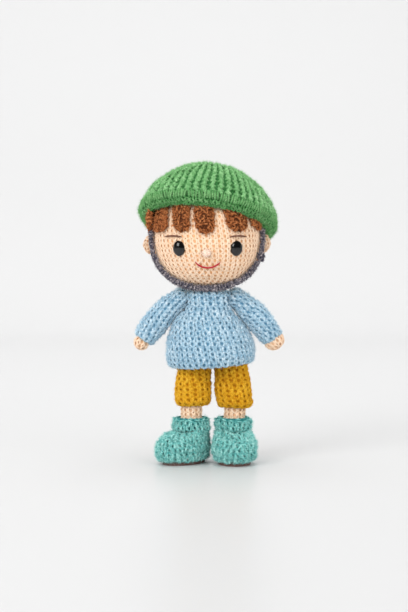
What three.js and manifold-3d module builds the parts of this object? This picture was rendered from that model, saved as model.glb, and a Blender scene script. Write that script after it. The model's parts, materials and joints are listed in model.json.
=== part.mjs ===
// A crocheted doll in a beret, tunic, shorts and boots, standing, in millimetres.
// +Z is up and the doll faces -Y. "left" and "right" are the doll's own: its left is +X.
// The origin is on the floor under the middle of the doll's overall box.
import * as THREE from "three";
import { mergeVertices } from "three/addons/utils/BufferGeometryUtils.js";
import Module from "manifold-3d";

// Fits
const gap = 0.3; // between pieces that touch
const jointGap = 0.45; // round a shoulder or hip ball that turns in its piece
const reach = 120; // how far a cutting block runs past what it cuts
const depthCentre = 5; // the box's middle lies this far behind the neck and shoulder axes

// How many facets go round each kind of piece, and how many rows up a ball
const facets = {
  head: 26,
  strap: 6,
  beret: 28,
  torso: 20,
  tunic: 24,
  limb: 14,
  limbBore: 12,
  hips: 24,
  shorts: 18,
  boot: 22,
  cuff: 20,
  bead: 12,
  thread: 5,
  cord: 8,
  rod: 16,
};
const ballRows = { head: 15, hip: 12, bead: 8, knot: 6 };

// Head; what is on it is placed from its centre, aside (x) and up
const head = { x: -0.8, z: 123, rx: 28.8, ry: 27, rz: 27.5 };
const ear = { out: 5.8, thick: 2.6, tall: 5.5, y: 1.6, up: { left: -3.4, right: -4.2 } };
const nose = { x: 0.5, up: -7.9, rx: 1.9, ry: 1.4, rz: 1.6 };
const eye = {
  apart: 15.25, // half the way between the two eyes
  x: 0.4,
  up: -5.5,
  rx: 3.2,
  ry: 2.1,
  rz: 4,
  turnOut: 0.3,
  turnDown: 0.1,
};
const shank = { radius: 1.1, length: 9 };
const washer = { radius: 4.2, thick: 1, depth: 4.6 };
const thread = { mouth: 0.36, brow: 0.3, lift: 1.4 }; // lift is counted in thread radii
const mouth = { x: 0.7, halfWidth: 6.4, up: -13.5, drop: 2.75 };
const brow = { x: -0.6, inner: 12.9, outer: 21.5, up: 0.6, arch: 0.5 };

// Hair: a cap over the crown and nape, and five tongues on the forehead
const hair = {
  thick: 2.6,
  frontUp: 20.4,
  templeY: -1.6,
  templeUp: 16.6,
  earTopUp: 4.2,
  behindEarY: 5,
  earBend: 1,
  napeUp: -19.5,
  napeBend: 8,
  napeY: 14,
};
const bangThick = 3;
const bangTuck = 4; // how far a tongue runs up beyond the hair's front edge before it is cut
const bangLean = 1.5; // how far a tongue's centre line stands off the head
const bangs = [
  { top: -25.4, tip: -24.6, tipUp: 2.6, width: 8 },
  { top: -14.3, tip: -13, tipUp: 2.8, width: 8.6 },
  { top: -2.4, tip: -0.1, tipUp: 0.5, width: 11.1 },
  { top: 13, tip: 17, tipUp: 2.6, width: 11.2 },
  { top: 24.6, tip: 26, tipUp: 3.6, width: 7.6 },
];

// Chin strap: a crocheted chain round the head, tied at the doll's left cheek
const strap = { radius: 1.4, chinSwell: 0.2, y: -4.5, slope: 0.25, steps: 40 };
const knot = { angle: 70, rx: 2.1, ry: 2, rz: 2.7 };

// Beret, in its own frame: the brim's plane is level there, then leans back and to the left
const beret = {
  x: -0.3,
  y: 3,
  up: 4.2,
  leanBack: 24.8,
  leanLeft: 8,
  depthShare: 0.95,
  sideRise: 1.9,
  height: 35.8,
  wall: 3,
  brimRadius: 35,
  brimWall: 2.2,
  widest: 38,
  widestZ: 6.1,
  roundness: 1.6,
  bandHeight: 7.4,
};

// Torso and neck
const neck = { radius: 8, intoHead: 5.5, foot: 90 };
const dowel = { radius: 2.6, foot: 78, belowCentre: 5 };
const neckTop = head.z - head.rz + neck.intoHead;
const dowelTop = head.z - dowel.belowCentre;
const torsoKeys = [
  { z: 62.6, rx: 10.4, ry: 7.6 },
  { z: 65, rx: 13.4, ry: 10 },
  { z: 70, rx: 13.9, ry: 10.6 },
  { z: 78, rx: 12.6, ry: 10 },
  { z: 86, rx: 9.8, ry: 8.5 },
  { z: 90, rx: 8.9, ry: 7.7 },
  { z: 92, rx: 7.4, ry: 7 },
];

// Tunic: a flared knit body with the armholes cut by the sleeves
const tunicWall = 2.2;
const hemWall = 1.6;
const hemDrift = { x: 1.6, low: 55, high: 80 }; // the hem hangs a little to the doll's left
const tunicKeys = [
  { z: 53, rx: 22, ry: 19.3 },
  { z: 54.4, rx: 23.1, ry: 20.2 },
  { z: 58.5, rx: 24.1, ry: 21.1 },
  { z: 63.5, rx: 24, ry: 20.6 },
  { z: 69.2, rx: 22.6, ry: 19.2 },
  { z: 73.5, rx: 20.5, ry: 17.6 },
  { z: 78, rx: 17.4, ry: 15.4 },
  { z: 82, rx: 13.7, ry: 13.2 },
  { z: 86, rx: 12.4, ry: 11.7 },
  { z: 90.5, rx: 12.5, ry: 10.9 },
  { z: 93, rx: 12.2, ry: 10.3 },
  { z: 94.4, rx: 10.6, ry: 9.6 },
];
const collarClearance = 0.5;

// Arms and sleeves, on a bent centre line from the shoulder to the wrist
const shoulder = { x: 15, z: 89.9 };
const elbow = { x: 25.3, z: 82.5 };
const wrist = { x: 35.4, z: 67.4 };
const sleeveWall = 2;
const sleeveKeys = [
  { t: 0, r: 5.6 },
  { t: 0.25, r: 6.3 },
  { t: 0.5, r: 7.1 },
  { t: 0.78, r: 6.9 },
  { t: 0.95, r: 6.2 },
  { t: 1, r: 5.6 },
];
const armRadius = { root: 3.2, middle: 3.9, wrist: 2.7 };
// The hand's ball: how far beyond the wrist its middle is, and its radii along, aside and deep
const hand = {
  left: { beyond: 1.5, along: 4.3, rx: 4.5, ry: 3.9 },
  right: { beyond: 2.4, along: 3.8, rx: 4.1, ry: 3.6 },
};

// Hips, legs and shorts
const hip = { x: 2, half: 9.5, z: 59 };
const shortsRadius = 9;
const shortsWall = 2.2;
const gusset = { radius: 4, half: 1.2 };
const waist = { z: 74.5, wall: 2, foot: 62.8, rx: 16.3, ry: 13 };
const legRadius = { root: 6.5, knee: 6.1, ankle: 5.7 };
const legSides = [
  { name: "right", side: -1, shortsFootX: -8.6, shortsFootZ: 31.4, calfX: -9.2, ankleX: -9.4, toeOut: 42 },
  { name: "left", side: 1, shortsFootX: 14.6, shortsFootZ: 30.5, calfX: 14.7, ankleX: 13.6, toeOut: 4 },
];
const calfZ = 30;
const ankleTop = 18; // below this the leg is upright, so that the boot can turn on it

// Joint threads
const jointThread = { radius: 0.7, bore: 1, knot: 1.4 };

// Boots, in their own frame: the ankle's axis is the origin and the toe points to -Y
const sole = { thick: 2.2, heel: 8.6, toe: -19.8, half: 8.9 };
const bootKeys = [
  { z: 2.5, heel: 9.2, toe: -20.6, half: 9.5 },
  { z: 4.6, heel: 10.4, toe: -22.6, half: 11 },
  { z: 8.3, heel: 10.9, toe: -23.3, half: 11.6 },
  { z: 12, heel: 10.4, toe: -21.8, half: 11 },
  { z: 15, heel: 9.8, toe: -17, half: 9.9 },
  { z: 17.5, heel: 9.2, toe: -9.8, half: 9.2 },
];
const bootFloor = 5;
const ball = 0.09; // how much wider the foot is at the ball than an even oval
const cuff = { height: 6.7, outer: 9.9, inner: 6.9, round: 1.3 };

const colour = {
  skin: 0xe9c5a5,
  hair: 0x834f2c,
  beret: 0x659c61,
  strap: 0x736c78,
  tunic: 0x9dbed1,
  shorts: 0xcb9621,
  boot: 0x6daea8,
  sole: 0x5f3a30,
  eye: 0x101012,
  plastic: 0xe8e6e0,
  wood: 0xd8b98a,
  mouth: 0xc0202c,
  brow: 0x7a4a35,
  stuffed: 0xe9c5a5,
  thread: 0xe6e0d2,
};

const wasm = await Module();
wasm.setup();

// A closed geometry as a solid that can be cut and joined.
function solidOf(geometry) {
  const bare = geometry.clone();
  bare.deleteAttribute("normal");
  bare.deleteAttribute("uv");
  const merged = mergeVertices(bare, 1e-4);
  return new wasm.Manifold(
    new wasm.Mesh({
      numProp: 3,
      vertProperties: Float32Array.from(merged.attributes.position.array),
      triVerts: Uint32Array.from(merged.index.array),
    }),
  );
}

function geometryOf(solid) {
  const { vertProperties, triVerts } = solid.getMesh();
  const geometry = new THREE.BufferGeometry();
  geometry.setAttribute("position", new THREE.BufferAttribute(vertProperties, 3));
  geometry.setIndex(new THREE.BufferAttribute(triVerts, 1));
  geometry.computeVertexNormals();
  return geometry;
}

// A closed skin over rings of points that turn anticlockwise about the way they travel.
function skin(rings) {
  const sides = rings[0].length;
  const positions = rings.flat().flatMap((p) => [p.x, p.y, p.z]);
  const faces = [];
  for (let r = 0; r < rings.length - 1; r++) {
    const here = r * sides;
    const next = here + sides;
    for (let s = 0; s < sides; s++) {
      const t = (s + 1) % sides;
      faces.push(here + s, here + t, next + t, here + s, next + t, next + s);
    }
  }
  for (const r of [0, rings.length - 1]) {
    const middle = positions.length / 3;
    const centre = new THREE.Vector3();
    rings[r].forEach((p) => centre.addScaledVector(p, 1 / sides));
    positions.push(centre.x, centre.y, centre.z);
    for (let s = 0; s < sides; s++) {
      const a = r * sides + s;
      const b = r * sides + ((s + 1) % sides);
      if (r === 0) faces.push(middle, b, a);
      else faces.push(middle, a, b);
    }
  }
  const geometry = new THREE.BufferGeometry();
  geometry.setAttribute("position", new THREE.Float32BufferAttribute(positions, 3));
  geometry.setIndex(faces);
  return geometry;
}

// A level oval ring.
function levelRing(x, y, z, rx, ry, sides) {
  return Array.from({ length: sides }, (_, s) => {
    const a = (2 * Math.PI * s) / sides;
    return new THREE.Vector3(x + rx * Math.cos(a), y + ry * Math.sin(a), z);
  });
}

// Values between keys, on a smooth curve; place is the name of the value that orders the keys.
function between(keys, place, at) {
  let i = 0;
  while (i < keys.length - 2 && at > keys[i + 1][place]) i++;
  const a = keys[Math.max(i - 1, 0)];
  const b = keys[i];
  const c = keys[i + 1];
  const d = keys[Math.min(i + 2, keys.length - 1)];
  const t = THREE.MathUtils.clamp((at - b[place]) / (c[place] - b[place]), 0, 1);
  const result = {};
  for (const name of Object.keys(b)) {
    const slopeB = ((c[name] - a[name]) / (c[place] - a[place])) * (c[place] - b[place]);
    const slopeC = ((d[name] - b[name]) / (d[place] - b[place])) * (c[place] - b[place]);
    result[name] =
      b[name] * (2 * t ** 3 - 3 * t ** 2 + 1) +
      slopeB * (t ** 3 - 2 * t ** 2 + t) +
      c[name] * (3 * t ** 2 - 2 * t ** 3) +
      slopeC * (t ** 3 - t ** 2);
  }
  return result;
}

// An oval ball as a closed geometry, its poles up and down.
function ballGeometry(x, y, z, rx, ry, rz, sides, rows) {
  const geometry = new THREE.SphereGeometry(1, sides, rows);
  geometry.rotateX(Math.PI / 2).scale(rx, ry, rz).translate(x, y, z);
  return geometry;
}

const ballSolid = (...sizes) => solidOf(ballGeometry(...sizes));

// An upright cylinder from one height to another.
function uprightRod(x, y, low, high, radius, sides = facets.rod) {
  const geometry = new THREE.CylinderGeometry(radius, radius, high - low, sides);
  geometry.rotateX(Math.PI / 2).translate(x, y, (low + high) / 2);
  return solidOf(geometry);
}

// A cylinder along X from one place to another.
function crossRod(from, to, z, radius, sides = facets.rod) {
  const geometry = new THREE.CylinderGeometry(radius, radius, to - from, sides);
  geometry.rotateZ(Math.PI / 2).translate((from + to) / 2, 0, z);
  return solidOf(geometry);
}

// One ring round a point, square to the way along; across is where its first half width lies.
function crossRing(centre, along, across, wide, deep, sides) {
  const u = across.clone().addScaledVector(along, -across.dot(along)).normalize();
  const v = new THREE.Vector3().crossVectors(along, u);
  return Array.from({ length: sides }, (_, s) => {
    const a = (2 * Math.PI * s) / sides;
    return centre
      .clone()
      .addScaledVector(u, wide * Math.cos(a))
      .addScaledVector(v, deep * Math.sin(a));
  });
}

// A tube along a curve; acrossAt gives the direction of its first half width at a point.
function sweep(curve, steps, sides, acrossAt, halfWidths) {
  const rings = Array.from({ length: steps + 1 }, (_, i) => {
    const t = i / steps;
    const centre = curve.getPoint(t);
    return crossRing(centre, curve.getTangent(t), acrossAt(centre), ...halfWidths(t), sides);
  });
  return solidOf(skin(rings));
}

const doll = new THREE.Group();
doll.position.y = -depthCentre;

function place(name, solid, tint, roughness = 0.9, parent = doll) {
  const geometry = geometryOf(solid);
  const material = new THREE.MeshStandardMaterial({ color: tint, roughness });
  const mesh = new THREE.Mesh(geometry, material);
  mesh.name = name;
  parent.add(mesh);
  return mesh;
}

// Head surface, grown by an offset; all its skins share one set of facets, so they never touch.
function headSkin(offset) {
  const { x, z, rx, ry, rz } = head;
  return ballSolid(x, 0, z, rx + offset, ry + offset, rz + offset, facets.head, ballRows.head);
}

// A point on the front of the head, this far aside and up from its centre, at an offset.
function facePoint(aside, up, offset) {
  const u = aside / (head.rx + offset);
  const w = up / (head.rz + offset);
  const y = -(head.ry + offset) * Math.sqrt(Math.max(1 - u * u - w * w, 0));
  return new THREE.Vector3(head.x + aside, y, head.z + up);
}

function headNormal(p) {
  return new THREE.Vector3(
    (p.x - head.x) / head.rx ** 2,
    p.y / head.ry ** 2,
    (p.z - head.z) / head.rz ** 2,
  ).normalize();
}

// Strap: where a ray in its leaning plane leaves the head, grown by an offset.
function strapPoint(angle, offset) {
  const lean = new THREE.Vector3(0, strap.slope, 1).normalize();
  const aim = new THREE.Vector3(Math.sin(angle), 0, 0).addScaledVector(lean, -Math.cos(angle));
  const sizes = [head.rx + offset, head.ry + offset, head.rz + offset];
  const from = [0, strap.y / sizes[1], 0];
  const way = [aim.x / sizes[0], aim.y / sizes[1], aim.z / sizes[2]];
  const a = way.reduce((sum, w) => sum + w * w, 0);
  const b = way.reduce((sum, w, i) => sum + w * from[i], 0);
  const c = from[1] ** 2 - 1;
  const run = (-b + Math.sqrt(b * b - a * c)) / a;
  return new THREE.Vector3(head.x, strap.y, head.z).addScaledVector(aim, run);
}

function strapRadius(angle) {
  return strap.radius * (1 + strap.chinSwell * Math.max(Math.cos(angle), 0));
}

// Over the crown the strap lies on the hair, and lower down on the head itself.
function strapOffset(angle) {
  const fromTop = Math.abs(THREE.MathUtils.radToDeg(angle) - 180);
  const onHair = 1 - THREE.MathUtils.smoothstep(fromTop, 38, 62);
  return strapRadius(angle) + gap + (hair.thick + gap) * onHair;
}

function strapCurve(from, to) {
  const points = Array.from({ length: strap.steps + 1 }, (_, i) => {
    const angle = from + ((to - from) * i) / strap.steps;
    const turn = ((angle % (2 * Math.PI)) + 2 * Math.PI) % (2 * Math.PI);
    return strapPoint(turn, strapOffset(turn));
  });
  return new THREE.CatmullRomCurve3(points);
}

const strapPlaneNormal = new THREE.Vector3(0, 1, -strap.slope).normalize();
const knotAngle = THREE.MathUtils.degToRad(knot.angle);
const knotShare = (knot.rz + gap) / (head.rx + strap.radius); // the turn that half the knot takes
const strapFrom = knotAngle + knotShare;
const strapTo = knotAngle + 2 * Math.PI - knotShare;
const strapRun = strapCurve(strapFrom, strapTo);

function strapTube(grow) {
  const widths = (t) => {
    const radius = strapRadius(THREE.MathUtils.lerp(strapFrom, strapTo, t)) + grow;
    return [radius, radius];
  };
  return sweep(strapRun, strap.steps, facets.strap, () => strapPlaneNormal, widths);
}

function makeStrap() {
  place("chin_strap", strapTube(0), colour.strap);
  const centre = strapPoint(knotAngle, knot.rx + gap);
  const { rx, ry, rz } = knot;
  const solid = ballSolid(centre.x, centre.y, centre.z, rx, ry, rz, facets.bead, ballRows.bead);
  place("chin_strap_knot", solid.subtract(headSkin(gap)), colour.strap);
}

// Eyes: an oval dome on a shank that runs into the head, held by a washer inside
function eyeFrame(side) {
  const centre = facePoint(eye.x + side * eye.apart, eye.up, 0);
  const aim = new THREE.Vector3(side * eye.turnOut, -1, -eye.turnDown).normalize();
  const turn = new THREE.Quaternion().setFromUnitVectors(new THREE.Vector3(0, -1, 0), aim);
  return new THREE.Matrix4().compose(centre, turn, new THREE.Vector3(1, 1, 1));
}

function inFrame(geometry, frame) {
  return solidOf(geometry.applyMatrix4(frame));
}

function eyeSolid(side, grow) {
  const frame = eyeFrame(side);
  const { rx, ry, rz } = eye;
  const dome = ballGeometry(0, 0, 0, rx + grow, ry + grow, rz + grow, facets.bead, ballRows.bead);
  const length = shank.length + grow;
  const stemRadius = shank.radius + grow;
  const stem = new THREE.CylinderGeometry(stemRadius, stemRadius, length, facets.cord);
  stem.translate(0, length / 2, 0);
  return inFrame(dome, frame).add(inFrame(stem, frame));
}

function washerSolid(side, grow) {
  const frame = eyeFrame(side);
  const thick = washer.thick + 2 * grow;
  const radius = washer.radius + grow;
  const disc = new THREE.CylinderGeometry(radius, radius, thick, facets.bead);
  return inFrame(disc.translate(0, washer.depth, 0), frame);
}

function makeEyes() {
  for (const [name, side] of [["right", -1], ["left", 1]]) {
    place("eye_" + name, eyeSolid(side, 0), colour.eye, 0.08);
    const ring = washerSolid(side, 0).subtract(eyeSolid(side, gap));
    place("eye_washer_" + name, ring, colour.plastic, 0.5);
  }
}

function makeHead() {
  const below = head.z - reach;
  const socket = uprightRod(head.x, 0, below, neckTop + gap, neck.radius + gap, facets.torso);
  const dowelHole = uprightRod(head.x, 0, below, dowelTop + gap, dowel.radius + gap);
  let solid = headSkin(0).subtract(socket).subtract(dowelHole);
  for (const side of [-1, 1]) {
    solid = solid.subtract(eyeSolid(side, gap)).subtract(washerSolid(side, gap));
  }
  place("head", solid, colour.skin);
}

function makeFace() {
  const { x, up, rx, ry, rz } = nose;
  const at = facePoint(x, up, gap);
  const bead = ballSolid(at.x, at.y, at.z, rx, ry, rz, facets.bead, ballRows.bead);
  place("nose", bead.subtract(headSkin(gap)), colour.skin);

  const bend = (mouth.halfWidth ** 2 + mouth.drop ** 2) / (2 * mouth.drop);
  const sweepAngle = Math.asin(mouth.halfWidth / bend);
  const smile = Array.from({ length: 13 }, (_, i) => {
    const a = sweepAngle * (i / 6 - 1);
    const height = mouth.up + bend * (Math.cos(sweepAngle) - Math.cos(a));
    return facePoint(mouth.x + bend * Math.sin(a), height, gap + thread.mouth * thread.lift);
  });
  place("mouth", threadAlong(smile, thread.mouth), colour.mouth);

  for (const [name, side] of [["right", -1], ["left", 1]]) {
    const line = Array.from({ length: 7 }, (_, i) => {
      const share = i / 6;
      const away = THREE.MathUtils.lerp(brow.inner, brow.outer, share);
      const height = brow.up + brow.arch * (1 - (2 * share - 1) ** 2);
      return facePoint(brow.x + side * away, height, gap + thread.brow * thread.lift);
    });
    place("eyebrow_" + name, threadAlong(line, thread.brow), colour.brow);
  }
}

function threadAlong(points, radius) {
  const curve = new THREE.CatmullRomCurve3(points);
  const widths = () => [radius, radius];
  return sweep(curve, points.length - 1, facets.thread, headNormal, widths);
}

// The hair's region, seen from the side: over the crown, down behind the ears and round the nape
function hairRegion(grow) {
  const { frontUp, templeY, templeUp, earTopUp, behindEarY, earBend, napeUp, napeBend, napeY } = hair;
  const templeX = templeY + strap.slope * (templeUp - earTopUp);
  const bend = [behindEarY + earBend - grow, napeUp + napeBend];
  const outline = new THREE.Shape();
  outline.moveTo(-reach, frontUp - grow + (reach * (frontUp - templeUp)) / head.ry);
  outline.lineTo(-head.ry, frontUp - grow);
  outline.lineTo(templeX - grow, templeUp - grow);
  outline.lineTo(templeY - grow, earTopUp - grow);
  outline.lineTo(behindEarY - grow, earTopUp - grow);
  outline.quadraticCurveTo(...bend, napeY - grow, napeUp - grow);
  outline.lineTo(reach, napeUp - grow);
  outline.lineTo(reach, reach);
  outline.lineTo(-reach, reach);
  const geometry = new THREE.ExtrudeGeometry(outline, {
    depth: reach,
    bevelEnabled: false,
    curveSegments: 6,
  });
  // The outline's x becomes the doll's depth and its y the height.
  const turn = new THREE.Matrix4().makeBasis(
    new THREE.Vector3(0, 1, 0),
    new THREE.Vector3(0, 0, 1),
    new THREE.Vector3(1, 0, 0),
  );
  geometry.applyMatrix4(turn).translate(head.x - reach / 2, 0, head.z);
  return solidOf(geometry);
}

function makeHair() {
  const channel = strapTube(gap);
  const shell = headSkin(gap + hair.thick).subtract(headSkin(gap));
  place("hair_cap", shell.intersect(hairRegion(0)).subtract(channel), colour.hair);

  const inner = headSkin(gap);
  const seam = hairRegion(gap);
  bangs.forEach((bang, i) => {
    const topUp = hair.frontUp + bangTuck;
    const points = Array.from({ length: 8 }, (_, n) => {
      const share = n / 7;
      const up = THREE.MathUtils.lerp(topUp, bang.tipUp, share);
      const aside = THREE.MathUtils.lerp(bang.top, bang.tip, share);
      return facePoint(aside, up, bangLean);
    });
    const half = bang.width / 2;
    const length = topUp - bang.tipUp;
    const widths = (t) => {
      const fromTip = (1 - t) * length;
      const rounded = Math.sqrt(Math.max(1 - (1 - Math.min(fromTip / half, 1)) ** 2, 0.04));
      const thick = bangThick - bangLean;
      return [thick * Math.max(rounded, 0.5), half * rounded];
    };
    const curve = new THREE.CatmullRomCurve3(points);
    const tongue = sweep(curve, 8, facets.cord, headNormal, widths);
    const cut = tongue.subtract(inner).subtract(seam).subtract(channel).subtract(behindStrap());
    place("bang_" + (i + 1), cut, colour.hair);
  });
}

// Everything behind the strap's front edge, where no tongue of hair reaches.
function behindStrap() {
  const block = new THREE.BoxGeometry(reach, reach, 2 * reach);
  block.translate(0, reach / 2, 0).rotateX(-Math.atan(strap.slope));
  block.translate(0, strap.y - strap.radius - gap, head.z);
  return solidOf(block);
}

// Beret, in its own frame
function beretRing(radius, z) {
  const { depthShare, sideRise, height } = beret;
  return Array.from({ length: facets.beret }, (_, s) => {
    const a = (2 * Math.PI * s) / facets.beret;
    const rise = sideRise * Math.cos(a) ** 2 * (1 - z / height);
    return new THREE.Vector3(
      radius * Math.cos(a),
      depthShare * radius * Math.sin(a),
      z + rise,
    );
  });
}

// The outside's radius at a height: a short outward curve from the brim, then a dome.
function beretRadius(z, inset) {
  const { widest, widestZ, brimRadius, height } = beret;
  const top = height - inset;
  if (z <= widestZ) {
    const low = inset ? brimRadius - beret.brimWall : brimRadius;
    const share = Math.max(z, 0) / widestZ;
    return low + (widest - inset - low) * Math.sin((share * Math.PI) / 2);
  }
  const share = (z - widestZ) / (top - widestZ);
  return (widest - inset) * Math.sqrt(Math.max(1 - share ** beret.roundness, 0.002));
}

function beretSolid(low, high, inset, rows) {
  const rings = Array.from({ length: rows + 1 }, (_, i) => {
    const share = i / rows;
    const z = low + (high - low) * (high > beret.widestZ ? Math.sin((share * Math.PI) / 2) : share);
    return beretRing(beretRadius(z, inset), z);
  });
  return solidOf(skin(rings));
}

function beretFrame() {
  const lean = new THREE.Matrix4().makeRotationX(-THREE.MathUtils.degToRad(beret.leanBack));
  const roll = new THREE.Matrix4().makeRotationY(THREE.MathUtils.degToRad(beret.leanLeft));
  return new THREE.Matrix4()
    .makeTranslation(head.x + beret.x, beret.y, head.z + beret.up)
    .multiply(roll)
    .multiply(lean);
}

function makeBeret() {
  const group = new THREE.Group();
  group.applyMatrix4(beretFrame());
  doll.add(group);
  const { bandHeight, height, wall } = beret;
  const hollow = beretSolid(-10, height - wall, wall, 7);
  const band = beretSolid(0, bandHeight, 0, 3).subtract(hollow);
  const crown = beretSolid(bandHeight + gap, height, 0, 9).subtract(hollow);
  place("beret_band", band, colour.beret, 0.9, group);
  place("beret_crown", crown, colour.beret, 0.9, group);
}

function makeEars() {
  const clear = headSkin(gap);
  const hat = beretSolid(-gap, beret.height, -gap, 12).transform(beretFrame().elements);
  for (const [name, side] of [["right", -1], ["left", 1]]) {
    const { out, thick, tall, y } = ear;
    const at = [head.x + side * head.rx, y, head.z + ear.up[name]];
    const lobe = ballSolid(...at, out, thick, tall, facets.bead, ballRows.bead);
    place("ear_" + name, largest(lobe.subtract(clear).subtract(hat)), colour.skin);
  }
}

function largest(solid) {
  return solid.decompose().sort((a, b) => b.volume() - a.volume())[0];
}

// Torso and tunic
function driftAt(z) {
  const { x, low, high } = hemDrift;
  return x * (1 - THREE.MathUtils.clamp((z - low) / (high - low), 0, 1));
}

function stack(keys, sides, grow = 0, drift = () => 0) {
  const rings = keys.map(({ z, rx, ry }) => {
    return levelRing(drift(z), 0, z, rx + grow, ry + grow, sides);
  });
  return solidOf(skin(rings));
}

function hipBall(side, grow) {
  const radius = shortsRadius + grow;
  const x = hip.x + side * hip.half;
  return ballSolid(x, 0, hip.z, radius, radius, radius, facets.shorts, ballRows.hip);
}

function shoulderBall(side, grow) {
  const radius = sleeveKeys[0].r + grow;
  const at = [side * shoulder.x, 0, shoulder.z];
  return ballSolid(...at, radius, radius, radius, facets.limb, ballRows.bead);
}

function makeTorso() {
  let solid = stack(torsoKeys, facets.torso);
  solid = solid.add(uprightRod(head.x, 0, neck.foot, neckTop, neck.radius, facets.torso));
  // A gusset between the legs carries the thread that they turn on.
  const web = new THREE.BoxGeometry(2 * gusset.half, 1.6 * gusset.radius, torsoKeys[1].z - hip.z);
  web.translate(hip.x, 0, (torsoKeys[1].z + hip.z) / 2);
  solid = solid.add(solidOf(web));
  solid = solid.add(gussetDisc(0));
  for (const side of [-1, 1]) {
    solid = solid.subtract(hipBall(side, jointGap).subtract(gussetDisc(0)));
    solid = solid.subtract(shoulderBall(side, jointGap));
  }
  solid = solid.subtract(uprightRod(head.x, 0, dowel.foot - gap, head.z, dowel.radius + gap));
  solid = solid.subtract(crossRod(-shoulder.x, shoulder.x, shoulder.z, jointThread.bore, facets.cord));
  solid = solid.subtract(crossRod(-reach / 2, reach / 2, hip.z, jointThread.bore, facets.cord));
  place("torso", solid, colour.stuffed);

  const peg = uprightRod(head.x, 0, dowel.foot, dowelTop, dowel.radius);
  const eyelet = crossRod(-shoulder.x, shoulder.x, shoulder.z, jointThread.bore, facets.cord);
  place("neck_dowel", peg.subtract(eyelet), colour.wood);
}

// The gusset's round end between the legs.
function gussetDisc(grow) {
  const half = gusset.half + grow;
  return crossRod(hip.x - half, hip.x + half, hip.z, gusset.radius + grow, facets.torso);
}

function makeTunic() {
  const outer = stack(tunicKeys, facets.tunic, 0, driftAt);
  const foot = tunicKeys[0];
  const shoulderLine = tunicKeys[tunicKeys.length - 1].z - tunicWall;
  const thinner = tunicWall - hemWall;
  const lining = tunicKeys.filter((key) => key.z > foot.z + 4 && key.z < shoulderLine - 1);
  const innerKeys = [
    { z: foot.z - 4, rx: foot.rx + thinner, ry: foot.ry + thinner },
    { z: foot.z, rx: foot.rx + thinner, ry: foot.ry + thinner },
    ...lining,
    { z: shoulderLine, rx: neck.radius + tunicWall + 1, ry: neck.radius + tunicWall + 0.4 },
  ];
  const inner = stack(innerKeys, facets.tunic, -tunicWall, driftAt);
  let solid = outer.subtract(inner);
  const collar = neck.radius + collarClearance;
  solid = solid.subtract(uprightRod(head.x, 0, foot.z, head.z, collar, facets.torso));
  for (const side of [-1, 1]) solid = solid.subtract(shoulderBall(side, jointGap));
  place("sweater_body", solid, colour.tunic);
}

// Arms
function armCurve(side) {
  return new THREE.QuadraticBezierCurve3(
    new THREE.Vector3(side * shoulder.x, 0, shoulder.z),
    new THREE.Vector3(side * elbow.x, 0, elbow.z),
    new THREE.Vector3(side * wrist.x, 0, wrist.z),
  );
}

function sleeveRadius(t) {
  return between(sleeveKeys, "t", t).r;
}

// A limb along the arm's line: a round root on the shoulder, then the keyed radii.
function armRings(side, radiusAt, steps, sides) {
  const curve = armCurve(side);
  const across = new THREE.Vector3(0, side, 0);
  const start = curve.getPoint(0);
  const along = curve.getTangent(0);
  const turns = 4;
  const rings = [];
  for (let i = 1; i < turns; i++) {
    const a = (Math.PI / 2) * (i / turns);
    const centre = start.clone().addScaledVector(along, -radiusAt(0) * Math.cos(a));
    const radius = radiusAt(0) * Math.sin(a);
    rings.push(crossRing(centre, along, across, radius, radius, sides));
  }
  for (let i = 0; i <= steps; i++) {
    const t = i / steps;
    const radius = radiusAt(t);
    rings.push(crossRing(curve.getPoint(t), curve.getTangent(t), across, radius, radius, sides));
  }
  return rings;
}

function makeArm(name, side) {
  const at = [side * shoulder.x, 0, shoulder.z];
  const curve = armCurve(side);
  const end = curve.getPoint(1);
  const along = curve.getTangent(1);
  const across = new THREE.Vector3(0, side, 0);
  const eyelet = crossRod(-shoulder.x, shoulder.x, shoulder.z, jointThread.bore, facets.cord);

  const outer = solidOf(skin(armRings(side, sleeveRadius, 8, facets.limb)));
  const boreRings = armRings(side, (t) => sleeveRadius(t) - sleeveWall, 6, facets.limbBore);
  const cuffBore = sleeveRadius(1) - sleeveWall;
  const beyond = end.clone().addScaledVector(along, 4);
  boreRings.push(crossRing(beyond, along, across, cuffBore, cuffBore, facets.limbBore));
  const sleeve = outer.subtract(solidOf(skin(boreRings))).subtract(eyelet);
  place("sleeve_" + name, sleeve, colour.tunic);

  const limb = (t) => {
    const swell = Math.sin(Math.PI * t) * (armRadius.middle - armRadius.root);
    return THREE.MathUtils.lerp(armRadius.root, armRadius.wrist, t) + swell;
  };
  const rings = armRings(side, limb, 5, facets.limbBore);
  const palm = hand[name];
  const first = Math.acos((palm.beyond - gap) / palm.along);
  const last = THREE.MathUtils.degToRad(165);
  for (let i = 0; i <= 6; i++) {
    const a = THREE.MathUtils.lerp(first, last, i / 6);
    const centre = end.clone().addScaledVector(along, palm.beyond - palm.along * Math.cos(a));
    const size = [palm.ry * Math.sin(a), palm.rx * Math.sin(a)];
    rings.push(crossRing(centre, along, across, ...size, facets.limbBore));
  }
  const arm = solidOf(skin(rings)).subtract(eyelet).subtract(knotSpace(at));
  place("arm_" + name, arm, colour.skin);
}

function knotSpace(at) {
  const radius = jointThread.knot + gap;
  return ballSolid(...at, radius, radius, radius, facets.cord, ballRows.knot);
}

function makeThread(name, from, to, z) {
  const { radius, knot: end } = jointThread;
  let solid = crossRod(from, to, z, radius, facets.cord);
  for (const x of [from, to]) {
    solid = solid.add(ballSolid(x, 0, z, end, end, end, facets.cord, ballRows.knot));
  }
  place(name, solid, colour.thread);
}

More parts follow.
